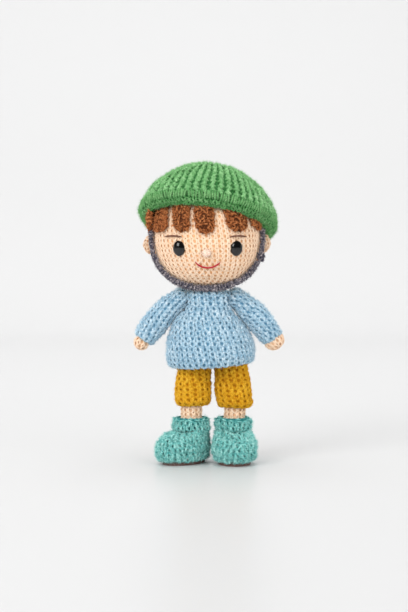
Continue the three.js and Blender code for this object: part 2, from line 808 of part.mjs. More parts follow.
// Shorts and legs
function makeShortsHips() {
  const { z, wall, foot, rx, ry } = waist;
  const outline = [
    { z: foot, rx: rx, ry: ry },
    { z: (foot + z) / 2 + 1, rx: rx + 0.6, ry: ry + 0.6 },
    { z, rx: rx - 0.4, ry: ry - 0.4 },
  ];
  const outer = stack(outline, facets.hips);
  const room = [
    { z: foot - 2, rx: rx - wall, ry: ry - wall },
    { z: z + 2, rx: rx - wall, ry: ry - wall },
  ];
  let solid = outer.subtract(stack(room, facets.hips));
  for (const side of [-1, 1]) solid = solid.subtract(hipBall(side, jointGap));
  place("shorts_hips", solid, colour.shorts);
}

// Level rings down a leg: a round root on the hip, then straight lines to the foot's places.
function legRings(root, keys, sides) {
  const rings = [];
  const turns = 4;
  for (let i = 1; i <= turns; i++) {
    const a = (Math.PI / 2) * (i / turns);
    const radius = root.radius * Math.sin(a);
    rings.push(levelRing(root.x, 0, root.z + root.radius * Math.cos(a), radius, radius, sides));
  }
  for (const key of keys) rings.push(levelRing(key.x, 0, key.z, key.r, key.r, sides));
  return solidOf(skin(rings.reverse()));
}

function makeLeg({ name, side, shortsFootX, shortsFootZ, calfX, ankleX }) {
  const rootX = hip.x + side * hip.half;
  const root = { x: rootX, z: hip.z };
  const foot = shortsFootZ;
  const xAt = (z, endX) => THREE.MathUtils.lerp(endX, rootX, (z - foot) / (hip.z - foot));
  const outer = [
    { x: xAt(50, shortsFootX), z: 50, r: shortsRadius },
    { x: xAt(42, shortsFootX), z: 42, r: shortsRadius + 0.6 },
    { x: xAt(foot + 3, shortsFootX), z: foot + 3, r: shortsRadius + 0.6 },
    { x: shortsFootX, z: foot + 0.8, r: shortsRadius - 0.3 },
    { x: shortsFootX, z: foot, r: shortsRadius - 1.4 },
  ];
  const room = shortsRadius - shortsWall;
  const inner = [
    { x: xAt(50, shortsFootX), z: 50, r: room },
    { x: xAt(42, shortsFootX), z: 42, r: room + 0.2 },
    { x: shortsFootX, z: foot - 2, r: room - 0.1 },
  ];
  const [low, high] = [rootX, hip.x].sort((a, b) => a - b);
  const innerEyelet = crossRod(low, high, hip.z, jointThread.bore, facets.cord);
  let shorts = legRings({ ...root, radius: shortsRadius }, outer, facets.shorts);
  shorts = shorts.subtract(legRings({ ...root, radius: room }, inner, facets.limb));
  shorts = shorts.subtract(gussetDisc(gap)).subtract(innerEyelet);
  place("shorts_leg_" + name, shorts, colour.shorts);

  const limbKeys = [
    { x: xAt(48, shortsFootX), z: 48, r: legRadius.knee },
    { x: THREE.MathUtils.lerp(shortsFootX, calfX, 0.5), z: 35, r: legRadius.ankle },
    { x: calfX, z: calfZ, r: legRadius.ankle },
    { x: ankleX, z: ankleTop, r: legRadius.ankle },
    { x: ankleX, z: bootFloor + 4, r: legRadius.ankle },
    { x: ankleX, z: bootFloor + 1.4, r: legRadius.ankle - 0.9 },
    { x: ankleX, z: bootFloor + gap, r: legRadius.ankle - 2.4 },
  ];
  let leg = legRings({ ...root, radius: legRadius.root }, limbKeys, facets.limb);
  leg = leg.subtract(innerEyelet).subtract(knotSpace([rootX, 0, hip.z]));
  place("leg_" + name, leg, colour.skin);
}

// Boots
function footRing({ z, heel, toe, half }, sides) {
  const middle = (heel + toe) / 2;
  const length = (heel - toe) / 2;
  return Array.from({ length: sides }, (_, s) => {
    const a = (2 * Math.PI * s) / sides;
    const wide = 1 - ball * Math.sin(a);
    return new THREE.Vector3(half * Math.cos(a) * wide, middle + length * Math.sin(a), z);
  });
}

function makeBoot({ name, side, ankleX, toeOut }) {
  const group = new THREE.Group();
  group.position.x = ankleX;
  group.rotation.z = side * THREE.MathUtils.degToRad(toeOut);
  doll.add(group);

  const flat = { heel: sole.heel, toe: sole.toe, half: sole.half };
  const slab = skin([0, sole.thick].map((z) => footRing({ z, ...flat }, facets.boot)));
  place("sole_" + name, solidOf(slab), colour.sole, 0.7, group);

  const levels = bootKeys.flatMap(({ z }, i) => (i ? [(bootKeys[i - 1].z + z) / 2, z] : [z]));
  const rings = levels.map((z) => footRing(between(bootKeys, "z", z), facets.boot));
  const socket = legRadius.ankle + gap;
  const top = bootKeys[bootKeys.length - 1].z;
  let boot = solidOf(skin(rings));
  boot = boot.subtract(uprightRod(0, 0, bootFloor, top + 5, socket, facets.limb));
  boot = boot.subtract(uprightRod(0, 0, top - 4, top + 5, cuff.inner, facets.limb));
  place("boot_" + name, boot, colour.boot, 0.9, group);

  const low = top + gap;
  const high = low + cuff.height;
  const { outer, inner, round } = cuff;
  const profile = [
    [inner, low],
    [outer - round, low],
    [outer - 0.2, low + round],
    [outer, (low + high) / 2],
    [outer - 0.1, high - round],
    [outer - round, high],
    [inner + 0.5, high],
    [inner, high - 0.6],
  ].map(([r, z]) => new THREE.Vector2(r, z));
  profile.push(profile[0].clone());
  const ring = new THREE.LatheGeometry(profile, facets.cuff);
  ring.rotateX(Math.PI / 2);
  place("boot_cuff_" + name, solidOf(ring), colour.boot, 0.9, group);
}

makeHead();
makeFace();
makeEyes();
makeEars();
makeHair();
makeStrap();
makeBeret();
makeTorso();
makeTunic();
makeShortsHips();
makeArm("right", -1);
makeArm("left", 1);
makeThread("shoulder_thread", -shoulder.x, shoulder.x, shoulder.z);
makeThread("hip_thread", hip.x - hip.half, hip.x + hip.half, hip.z);
for (const leg of legSides) {
  makeLeg(leg);
  makeBoot(leg);
}

export default doll;
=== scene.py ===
import json
from math import acos, asin, cos, degrees, pi, radians, sin, sqrt

import bpy
import numpy as np
from mathutils import Matrix, Vector, noise


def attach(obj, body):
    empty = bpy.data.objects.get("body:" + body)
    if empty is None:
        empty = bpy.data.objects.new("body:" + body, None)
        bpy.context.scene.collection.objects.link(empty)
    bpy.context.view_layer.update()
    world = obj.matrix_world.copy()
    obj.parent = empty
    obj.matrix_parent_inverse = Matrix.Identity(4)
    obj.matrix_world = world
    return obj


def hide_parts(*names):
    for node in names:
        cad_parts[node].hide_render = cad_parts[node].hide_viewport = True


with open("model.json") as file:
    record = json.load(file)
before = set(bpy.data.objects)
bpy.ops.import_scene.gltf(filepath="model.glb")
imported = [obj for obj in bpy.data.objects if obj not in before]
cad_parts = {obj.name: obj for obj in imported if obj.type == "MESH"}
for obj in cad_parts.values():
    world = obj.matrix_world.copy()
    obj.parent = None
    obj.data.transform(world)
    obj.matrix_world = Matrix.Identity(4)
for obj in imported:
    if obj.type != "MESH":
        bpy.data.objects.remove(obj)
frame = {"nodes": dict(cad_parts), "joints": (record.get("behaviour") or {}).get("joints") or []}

mm = 0.001
norm = np.linalg.norm
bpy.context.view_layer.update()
jointPlace = {j["name"]: j.get("pos_m") for j in frame["joints"]}
dollY = jointPlace["head_turn"][1]  # the neck, shoulders, hips and ankles all stand on this line
print("frame loaded")

# Camera, at the photograph's viewing angle

view = dict(distance=1.0, height=0.140, aimX=-0.0024, aimZ=0.0855, lens=107.9, sensor=36)


def aimed(name, data, place, aim):  # adds a camera or a lamp that looks from its place to its aim
    thing = bpy.data.objects.new(name, data)
    bpy.context.scene.collection.objects.link(thing)
    turn = (aim - place).to_track_quat("-Z", "Y").to_matrix().to_4x4()
    thing.matrix_world = Matrix.Translation(place) @ turn
    return thing


def makeCamera():
    data = bpy.data.cameras.new("camera")
    data.sensor_fit = "VERTICAL"
    data.sensor_height = view["sensor"]
    data.lens = view["lens"]
    place = Vector((view["aimX"], dollY - view["distance"], view["height"]))
    bpy.context.scene.camera = aimed("camera", data, place, Vector((view["aimX"], dollY, view["aimZ"])))


makeCamera()
bpy.context.scene.view_settings.view_transform = "Standard"
print("camera placed")

# Node helpers


def setInputs(tree, node, inputs):  # a socket is linked, and any other value is set
    for key, value in inputs.items():
        if isinstance(value, bpy.types.NodeSocket):
            tree.links.new(value, node.inputs[key])
        else:
            node.inputs[key].default_value = value


def addNode(tree, kind, inputs=None, **settings):
    node = tree.nodes.new(kind)
    for key, value in settings.items():
        setattr(node, key, value)
    setInputs(tree, node, inputs or {})
    return node


def first(tree, kind, inputs=None, **settings):  # the first output of a new node
    return addNode(tree, kind, inputs, **settings).outputs[0]


def maths(tree, operation, a, b=0.0, c=0.0):
    return first(tree, "ShaderNodeMath", {0: a, 1: b, 2: c}, operation=operation)


def vector(tree, x, y, z):
    return first(tree, "ShaderNodeCombineXYZ", {"X": x, "Y": y, "Z": z})


def noiseAt(tree, where, scale, detail):
    return addNode(tree, "ShaderNodeTexNoise", {"Vector": where, "Scale": scale, "Detail": detail}).outputs["Fac"]


def blend(tree, share, low, high):
    return addNode(tree, "ShaderNodeMix", {0: share, 6: low, 7: high}, data_type="RGBA").outputs[2]


def ranged(tree, value, low, high, **limits):  # 0 to 1 between the two, or To Min and To Max
    return first(tree, "ShaderNodeMapRange", {"Value": value, "From Min": low, "From Max": high, **limits})


def addSockets(tree, way, kind, labels):
    for label in labels:
        tree.interface.new_socket(label, in_out=way, socket_type="NodeSocket" + kind)


# The stitch trees: one strand of yarn is a tube on a short curve. It keeps its own length, turn and
# relief as attributes for the yarn's material, and short loose fibres stand on the tops of the strands

stitchInputs = {  # an input of the trees: its key in a dictionary of stitch sizes, and its unit
    "Width": ("width", mm), "Height": ("height", mm), "Yarn Radius": ("yarn", mm), "Loft": ("loft", mm),
    "Shift": ("shift", mm), "Tilt": ("tilt", 1.0), "Lean": ("lean", 1.0), "Fuzz Density": ("fuzz", 1e6),
    "Fuzz Length": ("fuzzLength", mm), "Fuzz Radius": ("fuzzRadius", mm),
}
strandShape = dict(steps=6, sides=6, middle=1.05, ends=0.72)  # ends: how thick it is where it dives
fuzz = dict(
    low=0.25, high=0.6, turn=(1.25, 1.25, 3.1), short=0.5, long=1.3, tones=(0.4, 1.6), seed=7,
)


def captured(tree, curve, label):  # the share along a curve, which its tube keeps as an attribute
    share = addNode(tree, "GeometryNodeSplineParameter").outputs["Factor"]
    capture = addNode(tree, "GeometryNodeCaptureAttribute", {"Geometry": curve})
    capture.capture_items.new("FLOAT", label)
    tree.links.new(share, capture.inputs[label])
    return share, capture.outputs[label], capture.outputs["Geometry"]


def strand(tree, sockets, path, ends):  # path: four points across, up and out, in shares of the stitch
    points = []
    for across, up, out in path:
        leaning = maths(tree, "MULTIPLY_ADD", sockets["Lean"], -up, across)  # each round leans over the one below
        sized = (("Width", leaning), ("Height", up), ("Loft", out))
        points.append(vector(tree, *(maths(tree, "MULTIPLY", sockets[label], share) for label, share in sized)))
    names = ("Start", "Start Handle", "End Handle", "End")
    bend = dict(zip(names, points), Resolution=strandShape["steps"])
    share, along, line = captured(tree, first(tree, "GeometryNodeCurvePrimitiveBezierSegment", bend), "along")
    circle = {"Radius": sockets["Yarn Radius"], "Resolution": strandShape["sides"]}
    turn, ring = captured(tree, first(tree, "GeometryNodeCurvePrimitiveCircle", circle), "turn")[1:]
    swell = maths(tree, "SINE", maths(tree, "MULTIPLY", share, pi))
    swell = maths(tree, "MULTIPLY_ADD", swell, strandShape["middle"] - ends, ends)
    tube = {"Curve": line, "Profile Curve": ring, "Scale": swell, "Fill Caps": True}
    mesh = first(tree, "GeometryNodeCurveToMesh", tube)
    place = addNode(tree, "ShaderNodeSeparateXYZ", {"Vector": first(tree, "GeometryNodeInputPosition")})
    full = maths(tree, "ADD", sockets["Yarn Radius"], sockets["Loft"])
    relief = maths(tree, "DIVIDE", place.outputs["Z"], full)
    for label, value in (("along", along), ("turn", turn), ("relief", relief)):
        stored = {"Geometry": mesh, "Name": label, "Value": value}
        mesh = first(tree, "GeometryNodeStoreNamedAttribute", stored)
    return mesh


def named(tree, label, kind):
    return addNode(tree, "GeometryNodeInputNamedAttribute", {"Name": label}, data_type=kind).outputs["Attribute"]


def scatter(tree, low, high, kind, seed):
    lows, highs, out = (0, 1, 0) if kind == "FLOAT_VECTOR" else (2, 3, 1)
    limits = {lows: low, highs: high, "Seed": seed}
    return addNode(tree, "FunctionNodeRandomValue", limits, data_type=kind).outputs[out]


def spread(tree, size):
    negative = maths(tree, "MULTIPLY", size, -1.0)
    return vector(tree, negative, negative, negative), vector(tree, size, size, size)


def turnedBy(tree, rotation, low, high, seed):
    turn = {"Rotation": rotation, "Rotate By": scatter(tree, low, high, "FLOAT_VECTOR", seed)}
    return first(tree, "FunctionNodeRotateRotation", turn, rotation_space="LOCAL")


def laidOut(tree, points, thing, rotation, size, tones, seed):  # a copy on each point, each in a tone of its own
    copies = {"Points": points, "Instance": thing, "Rotation": rotation, "Scale": size}
    placed = first(tree, "GeometryNodeInstanceOnPoints", copies)
    tone = {"Geometry": placed, "Name": "tone", "Value": scatter(tree, *tones, "FLOAT", seed)}
    toned = first(tree, "GeometryNodeStoreNamedAttribute", tone, domain="INSTANCE")
    return first(tree, "GeometryNodeRealizeInstances", {"Geometry": toned})


def fuzzOn(tree, sockets, mesh):
    seed = maths(tree, "ADD", sockets["Seed"], fuzz["seed"])
    top = ranged(tree, named(tree, "relief", "FLOAT"), fuzz["low"], fuzz["high"])
    density = maths(tree, "MULTIPLY", top, sockets["Fuzz Density"])
    points = addNode(tree, "GeometryNodeDistributePointsOnFaces", {"Mesh": mesh, "Seed": seed, "Density": density})
    radius, length = sockets["Fuzz Radius"], sockets["Fuzz Length"]
    cone = {"Vertices": 3, "Radius Top": 0.0, "Radius Bottom": radius, "Depth": length}
    fibre = first(tree, "GeometryNodeMeshCone", cone)
    turned = turnedBy(tree, points.outputs["Rotation"], [-a for a in fuzz["turn"]], fuzz["turn"], seed)
    size = scatter(tree, (1.0, 1.0, fuzz["short"]), (1.0, 1.0, fuzz["long"]), "FLOAT_VECTOR", seed)
    return laidOut(tree, points.outputs["Points"], fibre, turned, size, fuzz["tones"], seed)


def stitchTree(name, paths, ends=strandShape["ends"]):
    tree = bpy.data.node_groups.new(name, "GeometryNodeTree")
    addSockets(tree, "INPUT", "Geometry", ["Geometry"])
    addSockets(tree, "OUTPUT", "Geometry", ["Geometry"])
    addSockets(tree, "INPUT", "Float", stitchInputs)
    addSockets(tree, "INPUT", "Int", ["Seed"])
    addSockets(tree, "INPUT", "Material", ["Material"])
    sockets = tree.nodes.new("NodeGroupInput").outputs
    join = addNode(tree, "GeometryNodeJoinGeometry")
    for path in paths:
        tree.links.new(strand(tree, sockets, path, ends), join.inputs["Geometry"])
    shiftSeed, tiltSeed, toneSeed = (maths(tree, "ADD", sockets["Seed"], step) for step in (1, 2, 3))
    offset = scatter(tree, *spread(tree, sockets["Shift"]), "FLOAT_VECTOR", shiftSeed)
    shifted = first(tree, "GeometryNodeSetPosition", {"Geometry": sockets["Geometry"], "Offset": offset})
    outward, across, size = (named(tree, label, "FLOAT_VECTOR") for label in ("outward", "across", "size"))
    axes = {"Primary Axis": outward, "Secondary Axis": across}
    lie = first(tree, "FunctionNodeAxesToRotation", axes, primary_axis="Z", secondary_axis="X")
    turned = turnedBy(tree, lie, *spread(tree, sockets["Tilt"]), tiltSeed)
    stitches = laidOut(tree, shifted, join.outputs["Geometry"], turned, size, (0.0, 1.0), toneSeed)
    smooth = first(tree, "GeometryNodeSetShadeSmooth", {"Geometry": stitches})
    both = addNode(tree, "GeometryNodeJoinGeometry", {"Geometry": smooth})
    tree.links.new(fuzzOn(tree, sockets, smooth), both.inputs["Geometry"])
    coloured = {"Geometry": both.outputs["Geometry"], "Material": sockets["Material"]}
    painted = first(tree, "GeometryNodeSetMaterial", coloured)
    setInputs(tree, tree.nodes.new("NodeGroupOutput"), {"Geometry": painted})
    return tree


# Each path goes across, up and out, in shares of the stitch's width, height and loft.
vLeg = [(0.08, -0.58, -1.0), (0.48, -0.3, 1.3), (0.52, 0.3, 1.3), (0.12, 0.6, -1.0)]
bar = [(-0.32, 0.06, -1.8), (-0.26, -0.1, 1.5), (0.26, -0.1, 1.5), (0.32, 0.06, -1.8)]
spine = [(0.0, -0.6, -0.1), (0.0, -0.3, 0.5), (0.0, 0.3, 0.5), (0.0, 0.6, -0.1)]
loop = [(0.25, -0.52, -0.8), (0.25, -0.34, 1.1), (0.25, 0.34, 1.1), (0.25, 0.52, -0.8)]
curlPath = [(-0.38, -0.3, -1.2), (-0.6, 0.6, 1.5), (0.6, 0.4, 1.5), (0.38, -0.4, -1.2)]


def mirrored(path):
    return [(-across, up, out) for across, up, out in path]


stitchTrees = {
    "v": stitchTree("single crochet", [vLeg, mirrored(vLeg)], 0.6),
    "bar": stitchTree("bar", [bar], 0.45),
    "rib": stitchTree("barred rib", [bar, spine], 0.45),
    "loop": stitchTree("long loop", [loop, mirrored(loop)]),
    "curl": stitchTree("curled yarn", [curlPath]),
}

# Yarn: a fibre pattern that every yarn shares


# sunkFrom, sunkTo and sunkMiddle set where the sunk parts of the strands are painted darker: painted shade
fibres = dict(
    scale=2600.0, detail=3.0, weight=0.5, plies=2.0, twists=3.0, plyTone=0.25, stitchTone=0.25,
    sunkFrom=-0.3, sunkTo=0.7, sunkMiddle=0.8, plyHeight=0.6, fibreHeight=0.5,
)
flecks = dict(scale=1100.0, detail=1.0)
mottleDetail = 2.0


def fibreGroup():
    # A tone for each stitch, mottled dye, plies and fine fibres, and painted shade: darker in the ply grooves and
    # where the strands sink between each other
    group = bpy.data.node_groups.new("yarn fibres", "ShaderNodeTree")
    addSockets(group, "INPUT", "Color", ("Dark", "Middle", "Light"))
    addSockets(group, "INPUT", "Float", ("Mottle Size", "Mottle", "Fleck", "Relief"))
    addSockets(group, "OUTPUT", "Color", ["Color"])
    addSockets(group, "OUTPUT", "Float", ["Height"])
    sockets = group.nodes.new("NodeGroupInput").outputs

    def calc(operation, *values):
        return maths(group, operation, *values)

    def attribute(name):
        return addNode(group, "ShaderNodeAttribute", attribute_name=name).outputs["Fac"]

    where = addNode(group, "ShaderNodeTexCoord").outputs["Object"]
    mottle = noiseAt(group, where, calc("DIVIDE", 1.0, sockets["Mottle Size"]), mottleDetail)
    fibre = noiseAt(group, where, fibres["scale"], fibres["detail"])
    fleck = noiseAt(group, where, flecks["scale"], flecks["detail"])
    twist = calc("ADD", calc("MULTIPLY", attribute("along"), fibres["twists"]), attribute("turn"))
    twist = calc("MULTIPLY", calc("MULTIPLY", twist, fibres["plies"]), 2 * pi)
    # The plies are painted darker in their grooves, where the ply bump is low: painted shade
    ply = calc("MULTIPLY_ADD", calc("SINE", twist), 0.5, 0.5)
    level = calc("MULTIPLY_ADD", calc("SUBTRACT", attribute("tone"), 0.5), fibres["stitchTone"], 0.5)
    # The sunk parts of each strand, low in its relief, are painted darker: painted shade
    sunkShade = ranged(group, attribute("relief"), fibres["sunkFrom"], fibres["sunkTo"])
    for pattern, middle, weight in (
        (mottle, 0.5, sockets["Mottle"]),
        (fibre, 0.5, fibres["weight"]),
        (fleck, 0.5, sockets["Fleck"]),
        (sunkShade, fibres["sunkMiddle"], sockets["Relief"]),
        (ply, 0.5, fibres["plyTone"]),
    ):
        level = calc("ADD", level, calc("MULTIPLY", calc("SUBTRACT", pattern, middle), weight))
    shade = blend(group, ranged(group, level, 0.1, 0.5), sockets["Dark"], sockets["Middle"])
    lit = blend(group, ranged(group, level, 0.5, 0.9), shade, sockets["Light"])
    height = calc("ADD", calc("MULTIPLY", ply, fibres["plyHeight"]), calc("MULTIPLY", fibre, fibres["fibreHeight"]))
    setInputs(group, group.nodes.new("NodeGroupOutput"), {"Color": lit, "Height": height})
    return group


yarnFibres = fibreGroup()


def linear(red, green, blue):  # a colour read off a screen, 0 to 255, as the renderer takes it
    values = [c / 255 for c in (red, green, blue)]
    return tuple(c / 12.92 if c <= 0.04045 else ((c + 0.055) / 1.055) ** 2.4 for c in values) + (1,)


def plainMaterial(name, roughness):
    material = bpy.data.materials.new(name)
    material.use_nodes = True
    shader = material.node_tree.nodes["Principled BSDF"]
    shader.inputs["Roughness"].default_value = roughness
    return material, material.node_tree, shader


yarnSurface = dict(roughness=0.85, sheen=0.6, sheenRoughness=0.5, specular=0.2, depth=0.22, bump=0.7)


def yarnMaterial(name, dark, middle, light, mottle=0.3, mottleSize=3.0, fleck=0.4, relief=0.3):
    material, tree, shader = plainMaterial(name, yarnSurface["roughness"])
    colours = {label: linear(*c) for label, c in (("Dark", dark), ("Middle", middle), ("Light", light))}
    # relief: how much darker the sunk parts of the strands are painted, painted shade
    amounts = {"Mottle": mottle, "Mottle Size": mottleSize * mm, "Fleck": fleck, "Relief": relief}
    yarn = addNode(tree, "ShaderNodeGroup", {**colours, **amounts}, node_tree=yarnFibres).outputs
    bump = {"Height": yarn["Height"], "Distance": yarnSurface["depth"] * mm, "Strength": yarnSurface["bump"]}
    surface = {
        "Base Color": yarn["Color"],
        "Normal": first(tree, "ShaderNodeBump", bump),
        "Sheen Weight": yarnSurface["sheen"],
        "Sheen Roughness": yarnSurface["sheenRoughness"],
        "Sheen Tint": colours["Light"],
        "Specular IOR Level": yarnSurface["specular"],
    }
    setInputs(tree, shader, surface)
    return material


# relief in a look: how much darker the sunk parts of its strands are painted, painted shade
yarnLooks = {  # the name, then the colours when dark, in the middle and light
    "skin": ("skin yarn", (240, 200, 162), (250, 218, 188), (255, 234, 212), dict(mottle=0.2)),
    # Each Hole yarn colours the skin under a piece's stitches, and the inner walls of its shell, darker than the
    # yarn: painted shade in the holes
    "skinHole": ("skin yarn inside", (240, 184, 132), (250, 202, 154), (255, 214, 172), dict()),
    "limbHole": ("limb yarn inside", (244, 200, 158), (252, 214, 176), (255, 224, 192), dict()),
    "noseYarn": ("nose yarn", (250, 218, 196), (255, 234, 218), (255, 244, 234), dict(mottle=0.2)),
    "hair": (
        "hair yarn", (122, 64, 30), (178, 108, 62), (210, 140, 88),
        dict(mottle=0.9, mottleSize=1.6, fleck=0.7, relief=0.6),
    ),
    "hairHole": ("hair yarn inside", (70, 34, 14), (92, 48, 20), (112, 60, 28), dict()),
    "beret": (
        "beret yarn", (70, 134, 70), (122, 182, 118), (182, 222, 170),
        dict(mottle=0.4, fleck=0.7, relief=0.4),
    ),
    # The brim yarn is the beret yarn painted darker: painted shade on the brim, which turns under
    "brim": (
        "brim yarn", (54, 116, 56), (100, 164, 98), (158, 204, 146),
        dict(mottle=0.4, fleck=0.7, relief=0.4),
    ),
    "beretHole": ("beret yarn inside", (40, 96, 46), (56, 116, 60), (72, 134, 76), dict()),
    "strap": (
        "strap yarn", (58, 60, 76), (108, 104, 112), (188, 178, 180),
        dict(mottle=1.2, mottleSize=2, fleck=1.4, relief=0.5),
    ),
    "strapHole": ("strap yarn inside", (56, 56, 74), (76, 74, 92), (96, 92, 110), dict()),
    "tunic": (
        "tunic yarn", (120, 162, 188), (162, 196, 214), (224, 238, 246),
        dict(mottle=0.6, mottleSize=2.4, fleck=1.3),
    ),
    "tunicHole": ("tunic yarn inside", (90, 138, 168), (106, 154, 180), (124, 168, 194), dict()),
    "shorts": ("shorts yarn", (182, 120, 8), (216, 160, 28), (242, 196, 64), dict(mottle=0.4, fleck=0.8)),
    "shortsHole": ("shorts yarn inside", (192, 124, 10), (208, 142, 18), (220, 156, 28), dict()),
    "boot": (
        "boot yarn", (78, 160, 158), (126, 202, 196), (196, 242, 236),
        dict(mottle=0.6, fleck=1.3, relief=0.6),
    ),
    "bootHole": ("boot yarn inside", (36, 112, 112), (50, 128, 126), (66, 144, 140), dict()),
    "body": ("stuffed body cloth", (214, 206, 190), (232, 226, 212), (244, 240, 230), dict()),
}
yarns = {key: yarnMaterial(*look[:-1], **look[-1]) for key, look in yarnLooks.items()}


def coated(name, colour, roughness, coat=0.0):
    material, tree, shader = plainMaterial(name, roughness)
    setInputs(tree, shader, {"Base Color": linear(*colour), "Coat Weight": coat, "Coat Roughness": 0.03})
    return material


def grained(name, dark, light, scale, stretch, roughness, depth):  # noise drawn out along one way
    material, tree, shader = plainMaterial(name, roughness)
    where = addNode(tree, "ShaderNodeTexCoord").outputs["Object"]
    grain = noiseAt(tree, first(tree, "ShaderNodeMapping", {"Vector": where, "Scale": stretch}), scale, 4.0)
    bump = first(tree, "ShaderNodeBump", {"Height": grain, "Distance": depth * mm})
    setInputs(tree, shader, {"Base Color": blend(tree, grain, linear(*dark), linear(*light)), "Normal": bump})
    return material


eyeGloss = coated("eye gloss", (9, 9, 10), 0.14, coat=0.25)
washerPlastic = coated("washer plastic", (216, 216, 212), 0.4)
mouthThread = grained("mouth thread", (158, 6, 30), (190, 20, 46), 2200, (1, 1, 1), 0.6, 0.05)
browThread = grained("brow thread", (96, 60, 44), (128, 84, 62), 2200, (1, 1, 1), 0.7, 0.05)
soleFelt = grained("sole felt", (92, 64, 58), (122, 92, 86), 900, (1, 1, 3), 0.95, 0.12)
dowelWood = grained("dowel wood", (196, 158, 110), (226, 194, 150), 500, (1, 1, 0.08), 0.6, 0.05)
jointThreadLook = grained("joint thread", (206, 196, 178), (232, 224, 208), 1800, (1, 1, 1), 0.8, 0.05)
print("yarns made")

# Forms: a grid of points round and along each piece, in millimetres, the doll's axis at x = y = 0


def between(keys, place):  # values on a smooth curve through the keys; a key starts with its place
    keys = np.array(keys, float)
    places = keys[:, 0]
    place = np.clip(place, places[0], places[-1])
    i = min(int(np.searchsorted(places, place, side="right")) - 1, len(keys) - 2)
    a, b, c, d = (keys[k] for k in (max(i - 1, 0), i, i + 1, min(i + 2, len(keys) - 1)))
    span = c[0] - b[0]
    t = (place - b[0]) / span
    slopeB = (c - a) / (c[0] - a[0]) * span
    slopeC = (d - b) / (d[0] - b[0]) * span
    value = b * (2 * t**3 - 3 * t**2 + 1) + slopeB * (t**3 - 2 * t**2 + t)
    return (value + c * (3 * t**2 - 2 * t**3) + slopeC * (t**3 - t**2))[1:]


roundSteps = 96
capStart = 0.06  # the angle of the first ring of a round end


def angles():
    return np.linspace(0, 2 * pi, roundSteps, endpoint=False)


def oval(centre, wide, deep):  # a level ring; centre's height may differ round it
    a = angles()
    x, y, z = centre
    return np.stack([x + wide * np.cos(a), y + deep * np.sin(a), np.full_like(a, z)], 1)


def ballGrid(centre, radii, steps):
    rows = []
    for v in np.linspace(0, 1, steps):
        ring = max(sin(pi * v), 1e-4)
        middle = (centre[0], centre[1], centre[2] - radii[2] * cos(pi * v))
        rows.append(oval(middle, radii[0] * ring, radii[1] * ring))
    return np.array(rows)


def keyedGrid(keys, steps, shift=lambda z: 0.0):  # level ovals; a key is a height and two half widths
    heights = np.linspace(keys[0][0], keys[-1][0], steps)
    return np.array([oval((shift(z), 0, z), *between(keys, z)) for z in heights])


def sweptGrid(centres, tangents, across, halfWidths):  # across: where a ring's first half width points
    rows = []
    a = angles()[:, None]
    for centre, tangent, (wide, deep) in zip(centres, tangents, halfWidths):
        t = np.array(tangent, float) / norm(tangent)
        way = np.array(across(centre) if callable(across) else across, float)
        way = way - t * way.dot(t)
        way /= norm(way)
        rows.append(np.array(centre) + way * wide * np.cos(a) + np.cross(t, way) * deep * np.sin(a))
    return np.array(rows)


def normalsOf(grid):
    du = np.roll(grid, -1, axis=1) - np.roll(grid, 1, axis=1)
    dv = np.gradient(grid, axis=0)
    n = np.cross(du, dv)
    length = norm(n, axis=2, keepdims=True)
    return n / np.maximum(length, 1e-12)


def moved(grid, out):
    return grid + normalsOf(grid) * out


seedStride = 7.3  # how far apart two seeds read the noise


def uneven(grid, sizes, seed):  # soft bumps along the normals, as handwork has
    amount, size = sizes["bumps"]
    lift = [[noise.noise(Vector(p) / size + Vector((seed * seedStride, 0, 0))) for p in row] for row in grid]
    return grid + normalsOf(grid) * (np.array(lift)[:, :, None] * amount)


def at(grid, u, v):  # the point at a share round (u) and a row number (v, with fractions)
    nv, nu = grid.shape[:2]
    v = min(max(v, 0.0), nv - 1.001)
    i = int(v)
    u = (u % 1.0) * nu
    j = int(u) % nu
    fu = u - int(u)
    fv = v - i
    k = (j + 1) % nu
    low = grid[i, j] * (1 - fu) + grid[i, k] * fu
    high = grid[i + 1, j] * (1 - fu) + grid[i + 1, k] * fu
    return low * (1 - fv) + high * fv


plainStitch = dict(
    shift=0.12, tilt=0.08, lean=0.2, sink=0.5, flat=1.0, step=1, fuzz=2.5, fuzzLength=1.3, fuzzRadius=0.045,
)


def lengthsUp(grid):  # how far up the form each of its rings lies
    return np.concatenate([[0], np.cumsum(norm(np.diff(grid, axis=0), axis=2).mean(axis=1))])


def girth(ring):
    return norm(ring - np.roll(ring, 1, axis=0), axis=1).sum()


def facing(grid, u, v, step):  # a point of the form, the way across there, and the way out with its size
    across = at(grid, u + step, v) - at(grid, u - step, v)
    upward = at(grid, u, v + 0.5) - at(grid, u, v - 0.5)
    return at(grid, u, v), across, np.cross(across, upward)


def stitchGuides(grid, sizes, keep=None):  # a guide for each stitch, in rounds up the form
    width, height, step = sizes["width"], sizes["height"], sizes["step"]
    lengths = lengthsUp(grid)
    rows = max(int(round(lengths[-1] / height)), 1)
    real = lengths[-1] / rows
    guides = []
    for row in range(rows):
        v = float(np.interp(real * (row + 0.5), lengths, np.arange(len(lengths))))
        i = min(int(v), len(grid) - 2)
        around = girth(grid[i] * (1 - (v - i)) + grid[i + 1] * (v - i))
        count = max(int(round(around / width / step)) * step, 3)
        for n in range(count):
            p, across, outward = facing(grid, (n - sizes["lean"] * row) / count, v, 0.3 / count)
            area = norm(outward)
            if area < 1e-9:
                continue
            outward = outward / area
            if keep and not keep(p, outward):
                continue
            across = across / norm(across)
            size = (around / count / width, real / height, sizes["flat"])
            guides.append((p - outward * sizes["sink"], across, outward, size))
    return guides


def toScene(points):
    points = np.array(points, float) * mm
    points[..., 1] += dollY
    return points


def addObject(mesh):
    thing = bpy.data.objects.new("part", mesh)
    bpy.context.scene.collection.objects.link(thing)
    return thing


